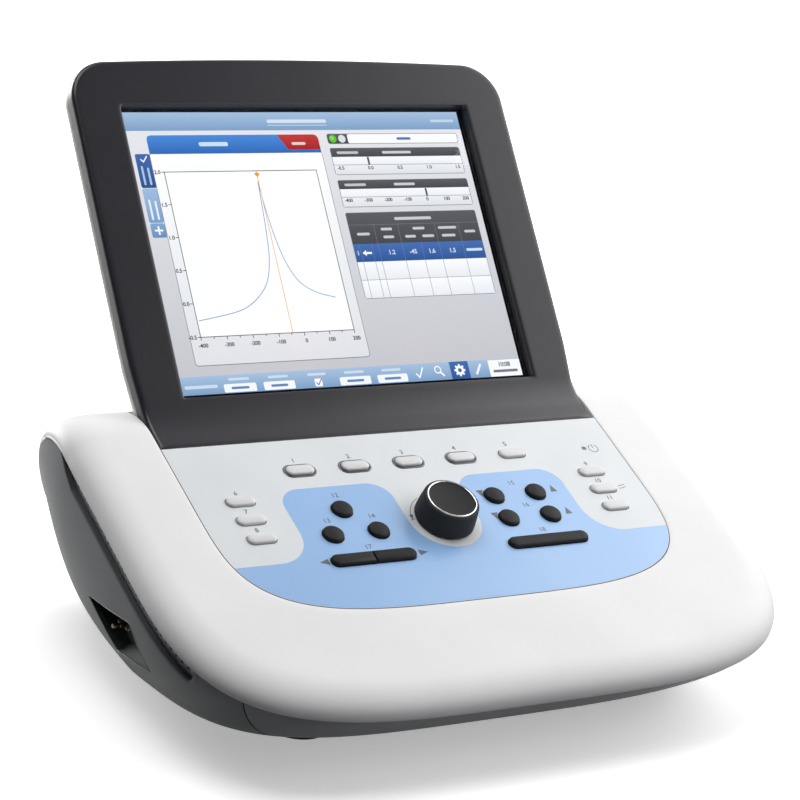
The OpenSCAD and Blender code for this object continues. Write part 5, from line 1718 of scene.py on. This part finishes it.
@dataclass
class Keypad:
    """Control panel with its print, the keys, trim rings and the lamp."""

    form: Form = FORM
    half_w: float = 155.4
    length: float = 145.2
    round_v: float = 51.3
    power: float = 3.8
    gap: float = 0.5
    thickness: float = 3.3
    pill_len: float = 18.7
    pill_w: float = 7.7
    round_d: float = 13.2
    bar_w: float = 8.6
    bar_len: float = 56.6
    key_gap: float = 0.45
    row_v: float = 27.2
    row_x: float = 0.8
    row_pitch: float = 37.8
    column_half: float = 124.3
    column_v: float = 49.1
    column_pitch: float = 15.7
    bar_v: float = 104.0
    start_x: float = -61.5
    present_x: float = 60.7
    knob_v: float = 77.6
    bush_r: float = 4.8
    lamp_x: float = 130.9
    lamp_v: float = 27.6
    lamp_r: float = 1.6
    print_h: float = 0.05
    blue_front: float = 101.2
    blue_half: float = 98.4
    blue_rear: float = 42.4
    blue_round: float = 14.4
    blue_sweep: float = 22.6
    blue_knob_r: float = 24.1
    arrow_r: float = 20.9
    end_steps: int = 18
    mark: Rgb = (104, 108, 116)

    @property
    def rounds(self) -> dict[str, tuple[float, float]]:
        """Centres of the round keys."""
        return {"manual_key": (-63.1, 62.8), "hold_key": (-78.5, 82.7), "stop_key": (-47.7, 82.7),
                "tone_down_key": (43.8, 62.8), "tone_up_key": (74.3, 62.8),
                "level_down_key": (43.8, 82.7), "level_up_key": (74.3, 82.7)}

    @property
    def pills(self) -> dict[str, tuple[float, float]]:
        """Centres of the pill keys."""
        places = {f"row_key_{k + 1}": (self.row_x + (k - 2) * self.row_pitch, self.row_v) for k in range(5)}
        for side, x in (("left", -self.column_half), ("right", self.column_half)):
            for k in range(3):
                places[f"{side}_key_{k + 1}"] = (x, self.column_v + k * self.column_pitch)
        return places

    def stadium(self, length: float, width: float, grow: float) -> Array:
        """Stadium outline about the origin.

        Args:
            length: Overall length.
            width: Overall width.
            grow: Distance by which it is grown.

        Returns:
            Points (x, y).
        """
        right = arc_at((length - width) / 2, 0, max(width / 2 + grow, 0.0), -90, 90, self.end_steps)
        return np.concatenate([right, -right])

    def panel_outline(self, shrink: float, steps: int = 181) -> Array:
        """Outline of the panel: straight behind, superellipse in front."""
        nose = nose_curve(self.half_w - shrink, self.length - self.round_v - shrink, self.power, steps)
        nose = nose + [0, self.round_v]
        rear = np.array([[self.half_w - shrink, 0.25], [-self.half_w + shrink, 0.25]])
        return np.concatenate([nose, rear])

    def holes(self, grow: float) -> list[Array]:
        """Outlines of every hole in the panel, grown by a distance."""
        reach = self.key_gap + grow
        pills = [self.stadium(self.pill_len, self.pill_w, reach) + place for place in self.pills.values()]
        rounds = [circle_at(*place, self.round_d / 2 + reach) for place in self.rounds.values()]
        bars = [self.stadium(self.bar_len, self.bar_w, reach) + [x, self.bar_v]
                for x in (self.start_x, self.present_x)]
        return [*pills, *rounds, *bars]

    def plate(self) -> None:
        """The pale panel with its key holes."""
        more = [circle_at(0, self.knob_v, self.bush_r),
                circle_at(self.lamp_x, self.lamp_v, self.lamp_r + 0.1)]
        plate = flat_plate(self.panel_outline(self.gap), [*self.holes(0), *more], -self.thickness, 0,
                           self.form.deck)
        make_piece("panel_plate", plate, PANEL, ["control_panel"], angle=30, bevel=0.1)

    def band(self, outer: Array, inner: Array, top: float) -> Shell:
        """Closed band between two outlines, from the panel's underside up to a height."""
        low = -self.thickness
        return ring_body([at_height(plan, h) for plan, h in ((outer, low), (outer, top), (inner, top),
                                                             (inner, low))], self.form.deck)

    def painted_gap_shade(self) -> None:
        """Black bands in the gap round the panel and in every key hole, painted shade so that these gaps
        read dark.
        """
        # Black band in the panel's gap: painted shade.
        painted_gap_shade = self.band(self.panel_outline(0.02), self.panel_outline(self.gap), -0.06)
        make_piece("panel_seal", painted_gap_shade, BLACK, angle=30)
        # Black sleeve in each key hole: painted shade of the gap round the key.
        hole_shades = [self.band(outer, inner, -0.12)
                   for outer, inner in zip(self.holes(0.02), self.holes(-0.14))]
        make_piece("key_sleeves", joined(hole_shades), BLACK, angle=30)

    def blue_outline(self) -> Array:
        """Outline of the blue print: the panel's front and two lobes beside the knob circle."""
        r, b, f = self.blue_round, self.blue_half, self.blue_front
        wide, near = self.blue_sweep, self.blue_knob_r
        edge = self.panel_outline(self.gap + 0.25, 721)
        edge = edge[edge[:, 1] > f]
        half = np.concatenate([[[edge[-1, 0], f]], arc_at(b + wide, f - wide, wide, 90, 180, 20),
                               arc_at(b - r, self.blue_rear + r, r, 0, -90, 16),
                               arc_at(near + r, self.blue_rear + r, r, -90, -180, 16),
                               arc_at(0, self.knob_v, near, 0, 90, 28)])
        return np.concatenate([edge, half, half[-2::-1] * [-1, 1]])

    def blue_print(self) -> None:
        """The blue zone as a thin printed film with the key holes left out."""
        holes = [h for h in self.holes(0.12) if abs(h[:, 0].mean()) < 90 and h[:, 1].mean() > 50]
        film = flat_plate(self.blue_outline(), holes, 0.0, self.print_h, self.form.deck)
        make_piece("blue_zone", film, BLUE, angle=30)

    def marks(self) -> None:
        """Printed marks: triangles, turn arrows, the power sign, and a plain number over each key."""
        art = Artwork(lambda p: self.form.deck(p[:, 0], p[:, 1], self.print_h + 0.015 + p[:, 2] * 0.01))
        grey = self.mark
        for u, v, aim in ((-93.8, 103.4, Aim.LEFT), (-27.4, 103.2, Aim.RIGHT), (36.0, 59.4, Aim.DOWN),
                          (36.0, 79.4, Aim.DOWN), (88.0, 60.6, Aim.UP), (88.0, 80.6, Aim.UP)):
            c, s = math.cos(math.radians(aim.value)), math.sin(math.radians(aim.value))
            triangle = np.array([[-3.4, 0], [2.8, -2.5], [2.8, 2.5]])
            art.shape(triangle @ np.array([[c, s], [-s, c]]) + [u, v], grey, 0)
        sign_x, sign_v = 137.8, 28.2
        art.stroke(arc_at(sign_x, sign_v, 3.3, -60, 240, 33), 0.5, grey, 0)
        art.stroke([[sign_x, sign_v - 3.7], [sign_x, sign_v - 0.2]], 0.5, grey, 0)
        for side in (-1, 1):
            arc = arc_at(0, self.knob_v, self.arrow_r, -115, -165, 18) * [side, 1]
            art.stroke(arc, 0.45, grey, 0)
            art.shape(arc[-1] + [[-1.4, -0.3], [1.4, -0.3], [-0.3 * side, 4.0]], grey, 0)
        art.stroke([[-22.2, self.knob_v - 1.5], [-19.6, self.knob_v - 1.5]], 0.5, grey, 0)
        for k, (u, v) in enumerate(self.pills.values()):
            shift, rise, size = (-0.5, 9.2, 5.0) if k < 5 else (0.0, 7.6, 4.8)
            art.number(str(k + 1), u + shift, v - rise, size, grey, 0)
        for text, u, v in (("12", -62, 50.2), ("13", -77, 70.4), ("14", -46.4, 69.8), ("15", 61.6, 52.6),
                           ("16", 61.6, 72.4), ("17", -60.6, 94.4), ("18", 61.6, 94.4)):
            art.number(text, u, v, 5.0, grey, 0)
        for lift in (-1.1, 1.1):
            art.stroke([[136.2, 64.9 + lift], [141.4, 63.7 + lift]], 0.45, grey, 0)
        art.piece("panel_marks", INK, "panel")

    def key(self, node: str, plan: Callable[[float], Array], at: tuple[float, float],
            profile: Array, tone: KeyTone) -> None:
        """A key cap: an outline drawn in along a profile, with a flange below the panel.

        Args:
            node: The CAD node it stands for.
            plan: Gives the outline (x, y) grown by a distance.
            at: Its centre (x, v).
            profile: Points (grow, height) from the underside to the top.
            tone: Which kind of key it is.
        """
        rings = [self.form.deck(*(plan(grow) + at).T, h) for grow, h in profile]
        finish = KEY_GREY if tone is KeyTone.GREY else RUBBER
        make_piece(f"{node}_cap", capped_body(rings), finish, [node], angle=45,
                   body=f"{node}_body")

    def cap_profile(self, high: float, soft: float, crown: float, reach: float) -> Array:
        """Profile of a key: flange, straight side, rounded rim and crowned top.

        The rim is a quarter circle; the top rises by crown times 1 - (1 - t)^2 while it goes in by t.

        Args:
            high: Height of the rim above the panel.
            soft: Radius of the rim.
            crown: Rise of the middle above the rim.
            reach: Distance from the side to the middle.

        Returns:
            Points (grow, height).
        """
        flange = -self.thickness - 0.4
        foot = np.array([[1.1, flange - 1.2], [1.1, flange], [0.0, flange], [0.0, high - soft]])
        rim = arc_at(-soft, high - soft, soft, 0, 90, 8)[1:]
        t = np.linspace(0, 1, 7)[1:]
        top = np.c_[-soft - (reach - soft - 0.02) * t, high + crown * (1 - (1 - t) ** 2)]
        return np.concatenate([foot, rim, top])

    def half_bar(self, side: int, grow: float) -> Array:
        """One half of the split bar: round outer end, straight inner end."""
        r = max(self.bar_w / 2 + grow, 0.0)
        arc = arc_at((self.bar_len - self.bar_w) / 2, 0, r, -90, 90, 20)
        across = np.linspace(r, -r, 8)
        inner = np.full_like(across, self.key_gap / 2 - min(grow, 0) * 0.75)
        return np.concatenate([arc, np.c_[inner, across]]) * [side, 1]

    def keys(self) -> None:
        """Every key cap."""
        for node, at in self.pills.items():
            self.key(node, lambda g: self.stadium(self.pill_len, self.pill_w, g), at,
                     self.cap_profile(1.9, 1.3, 0.3, self.pill_w / 2), KeyTone.GREY)
        for node, at in self.rounds.items():
            self.key(node, lambda g: circle_at(0, 0, self.round_d / 2 + g, 60), at,
                     self.cap_profile(2.4, 1.5, 0.4, self.round_d / 2), KeyTone.BLACK)
        bar = self.cap_profile(2.6, 1.5, 0.3, self.bar_w / 2)
        for node, x, plan in (
                ("start_key_left", self.start_x, lambda g: self.half_bar(-1, g)),
                ("start_key_right", self.start_x, lambda g: self.half_bar(1, g)),
                ("present_key", self.present_x, lambda g: self.stadium(self.bar_len, self.bar_w, g))):
            self.key(node, plan, (x, self.bar_v), bar, KeyTone.BLACK)

    def trim_rings(self) -> None:
        """The stadium rings round the first four keys of the row, each a closed rounded band."""
        section = [(0.42, -0.4), (0.42, 0.15), (0.62, 0.34), (1.1, 0.42), (1.5, 0.36), (1.72, 0.2),
                   (1.78, 0.0), (1.78, -0.02)]
        rings = [ring_body([at_height(self.stadium(self.pill_len, self.pill_w, g) + place, h)
                            for g, h in section], self.form.deck) for place in [*self.pills.values()][:4]]
        make_piece("trim_ring_set", joined(rings), TRIM, ["key_rings"])

    def build(self) -> None:
        """Builds the panel, its print and the keys."""
        self.plate()
        self.painted_gap_shade()
        self.blue_print()
        self.marks()
        self.keys()
        self.trim_rings()
        polish("status_lamp", LAMP, 0.1)


@dataclass
class Knob:
    """Pressure knob: tapered rubber grip, bright ring and dished cap."""

    form: Form = FORM
    v: float = 77.6
    r: float = 18.8
    h: float = 16.4
    ring_r: float = 15.6
    cap_r: float = 14.6
    hub_r: float = 7.0
    lift: float = 0.7

    def place(self, right: Array, forward: Array, height: Array) -> Array:
        """Offsets from the knob's axis to the row frame."""
        return self.form.deck(right, self.v + forward, height)

    def part(self, name: str, profile: Array, finish: Finish, slot: str, node: str) -> None:
        """Turns one part of the knob.

        Args:
            name: Name of the piece.
            profile: Points (radius, height).
            finish: Its finish.
            slot: Material slot of the record; not used.
            node: The CAD node it stands for.
        """
        make_piece(name, revolved(profile, self.place, 128), finish, [node], angle=38,
                   body="pressure_knob")

    def build(self) -> None:
        """Builds the three turned parts."""
        h, r = self.h, self.r
        t = np.linspace(0, 1, 8)[1:-1]
        side = np.c_[lerp(r, r - 1.4, t ** 1.6), lerp(1.6, h - 2.0, t)]
        foot = [[self.hub_r, self.lift], [r - 0.4, self.lift], [r, self.lift + 0.4], [r, 1.6]]
        groove = [[self.ring_r, h - 0.45], [self.ring_r, h - 3.2], [self.hub_r, h - 3.2]]
        grip = np.concatenate([foot, side, arc_at(r - 2.9, h - 2.0, 1.5, 0, 90, 10), groove])
        self.part("knob_grip_turned", grip, GRIP, "knob_rubber", "knob_grip")
        a, b = self.ring_r - 0.05, self.cap_r
        ring = np.array([[b, h - 3.1], [a, h - 3.1], [a, h - 0.35], [a - 0.12, h - 0.1], [a - 0.3, h],
                         [b + 0.25, h], [b + 0.08, h - 0.12], [b, h - 0.4]])
        self.part("knob_ring_turned", ring, CHROME, "bright_ring", "knob_ring")
        t = np.linspace(0, 1, 16)
        q = self.cap_r - 0.15
        dish = np.c_[q * (1 - t), h - 0.5 - 0.9 * (1 - (1 - t) ** 2)]
        cap = np.concatenate([[[0, h - 3.1], [q, h - 3.1], [q, h - 0.7]], dish])
        self.part("knob_cap_turned", cap, CAP, "knob_cap", "knob_cap")


# Inner works, studio


INNER: dict[str, Finish] = {
    "screen_bracket": STEEL, "display_cable": IVORY, "switch_mat": IVORY, "key_board": BOARD,
    "knob_shaft": STEEL, "encoder": STEEL, "main_board": BOARD, "power_supply": STEEL,
    "air_pump": STEEL, "pressure_manifold": IVORY, "speaker": BLACK,
}


def finish_inner_works() -> None:
    """Gives the nodes inside the housing their finishes, and the parts at the back softened edges."""
    for node, finish in INNER.items():
        repaint(node, finish)
    polish("connector_plate", BLACK, 0.3)
    polish("power_switch", BLACK, 0.3)
    polish("screws", STEEL, 0.2)


@dataclass
class Studio:
    """Camera at the photograph's viewing angle, pale floor and soft lamps."""

    form: Form = FORM
    scale: float = 1.1667
    camera_at: Triple = (-731.985, -1118.891, 461.271)
    focal_px: float = 2696.05
    frame_px: float = 800.0
    sensor: float = 36.0
    right: Triple = (0.851053, -0.508717, 0.130064)
    up: Triple = (0.056698, 0.335287, 0.940408)
    back: Triple = (-0.522010, -0.792963, 0.314190)
    sky_level: float = 0.03
    rim_level: float = 0.5
    glow_gloss: float = 0.4
    shadow_near: float = 0.3
    shadow_far: float = 0.75
    shadow_lift: float = 0.4
    aim: Triple = (0, 0, 0.1)
    floor_half: float = 6.0

    def camera(self) -> None:
        """The camera; its place is measured from the middle of the bezel seam."""
        data = bpy.data.cameras.new("view")
        data.sensor_width = self.sensor
        data.lens = self.focal_px / self.frame_px * self.sensor
        data.clip_start, data.clip_end = 0.05, 50
        camera = put("view", data)
        at = np.array(self.camera_at) * self.scale * MM + [0, self.form.seam_y * MM, self.form.seam_z * MM]
        turn = Matrix((self.right, self.up, self.back)).transposed().to_4x4()
        camera.matrix_world = Matrix.Translation(at.tolist()) @ turn
        bpy.context.scene.camera = camera

    def lamp(self, name: str, at: Triple, size: float, power: float) -> None:
        """A soft square lamp that aims at the object.

        Args:
            name: Its name.
            at: Place in metres.
            size: Side in metres.
            power: Power in watts.
        """
        data = bpy.data.lights.new(name, "AREA")
        data.size, data.energy = size, power
        lamp = put(name, data)
        lamp.location = at
        lamp.rotation_mode = "QUATERNION"
        lamp.rotation_quaternion = (Vector(at) - Vector(self.aim)).to_track_quat("Z", "Y")

    def seen_directly(self, wiring: Wiring, gloss: float = 1.0) -> bpy.types.Node:
        """Node whose output is 1 for camera and transmission rays and a share for glossy rays.

        Args:
            wiring: The tree's wiring.
            gloss: The share for glossy rays.

        Returns:
            The node.
        """
        path = wiring.add("LightPath")
        first, second = (wiring.add("Math", operation="MAXIMUM") for _ in range(2))
        share = wiring.add("Math", operation="MULTIPLY")
        preset(share, {1: gloss})
        wiring.join((path, "Is Camera Ray", first, 0), (path, "Is Transmission Ray", first, 1),
                    (path, "Is Glossy Ray", share, 0), (first, 0, second, 0), (share, 0, second, 1))
        return second

    def world(self) -> None:
        """A dim sky, white where the camera sees it, with a pale rim low down that gloss reflects."""
        world = bpy.data.worlds.new("studio")
        world.use_nodes = True
        bpy.context.scene.world = world
        wiring = Wiring(world.node_tree)
        shader = world.node_tree.nodes["Background"]
        path = wiring.add("LightPath")
        place, split = wiring.add("TexCoord"), wiring.add("SeparateXYZ")
        rim = wiring.add("MapRange", interpolation_type="SMOOTHSTEP", From_Min=0.1, From_Max=0.45,
                         To_Min=self.rim_level, To_Max=self.sky_level)
        level = wiring.add("Mix")
        preset(level, {2: self.sky_level})
        full = wiring.add("Math", operation="MAXIMUM")
        wiring.join((place, "Generated", split, 0), (split, "Z", rim, "Value"),
                    (path, "Is Glossy Ray", level, 0), (rim, 0, level, 3),
                    (path, "Is Camera Ray", full, 0), (level, 0, full, 1), (full, 0, shader, "Strength"))
        preset(shader, {"Color": (1, 1, 1, 1)})

    def floor(self) -> None:
        """A plain floor that keeps the shadow: white where it is seen, darker for scattered light."""
        steps = 9
        g = np.linspace(-self.floor_half, self.floor_half, steps)
        x, y = np.meshgrid(g, g)
        mesh = bpy.data.meshes.new("floor")
        mesh.from_pydata(spread(x, y, 0).reshape(-1, 3).tolist(), [], strip_faces(steps, steps))
        floor = put("floor", mesh)
        material = bpy.data.materials.new("studio_floor")
        material.use_nodes = True
        wiring = Wiring(material.node_tree)
        shader = material.node_tree.nodes["Principled BSDF"]
        preset(shader, {"Roughness": 0.9, "Specular IOR Level": 0.0, "Emission Color": (1, 1, 1, 1)})
        mix = wiring.add("Mix", data_type="RGBA")
        preset(mix, {MIX_A: (0.12, 0.115, 0.13, 1), MIX_B: (0.97, 0.97, 0.97, 1)})
        place = wiring.add("TexCoord")
        reach = wiring.add("VectorMath", operation="LENGTH")
        fade = wiring.add("MapRange", interpolation_type="SMOOTHSTEP", From_Min=self.shadow_near,
                          From_Max=self.shadow_far, To_Min=self.shadow_lift, To_Max=1.0)
        glow = wiring.add("Math", operation="MULTIPLY")
        wiring.join((place, "Object", reach, 0), (reach, "Value", fade, "Value"),
                    (self.seen_directly(wiring), 0, mix, 0), (mix, MIX_OUT, shader, "Base Color"),
                    (self.seen_directly(wiring, self.glow_gloss), 0, glow, 0), (fade, 0, glow, 1),
                    (glow, 0, shader, "Emission Strength"))
        mesh.materials.append(material)

    def build(self) -> None:
        """Sets up camera, lamps, sky and floor."""
        self.camera()
        self.world()
        self.floor()
        self.lamp("right", (1.5, 0.1, 1.2), 1.3, 22)
        self.lamp("right_front", (1.2, -1.1, 1.0), 1.0, 9.5)
        self.lamp("right_rear", (0.9, 1.3, 1.3), 1.2, 5.5)
        self.lamp("left_top", (-0.4, 0.3, 1.8), 1.2, 19)
        self.lamp("left_rear", (-0.62, 2.1, 0.56), 0.9, 34)
        bpy.context.scene.view_settings.view_transform = "Standard"


def main() -> None:
    """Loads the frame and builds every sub-assembly."""
    logging.basicConfig(level=logging.INFO, format="%(name)s %(message)s")
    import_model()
    for part in (Studio(), Housing(), Screen(), Keypad(), Knob()):
        LOG.info("building %s", type(part).__name__)
        part.build()
    finish_inner_works()


if __name__ == "__main__":
    main()
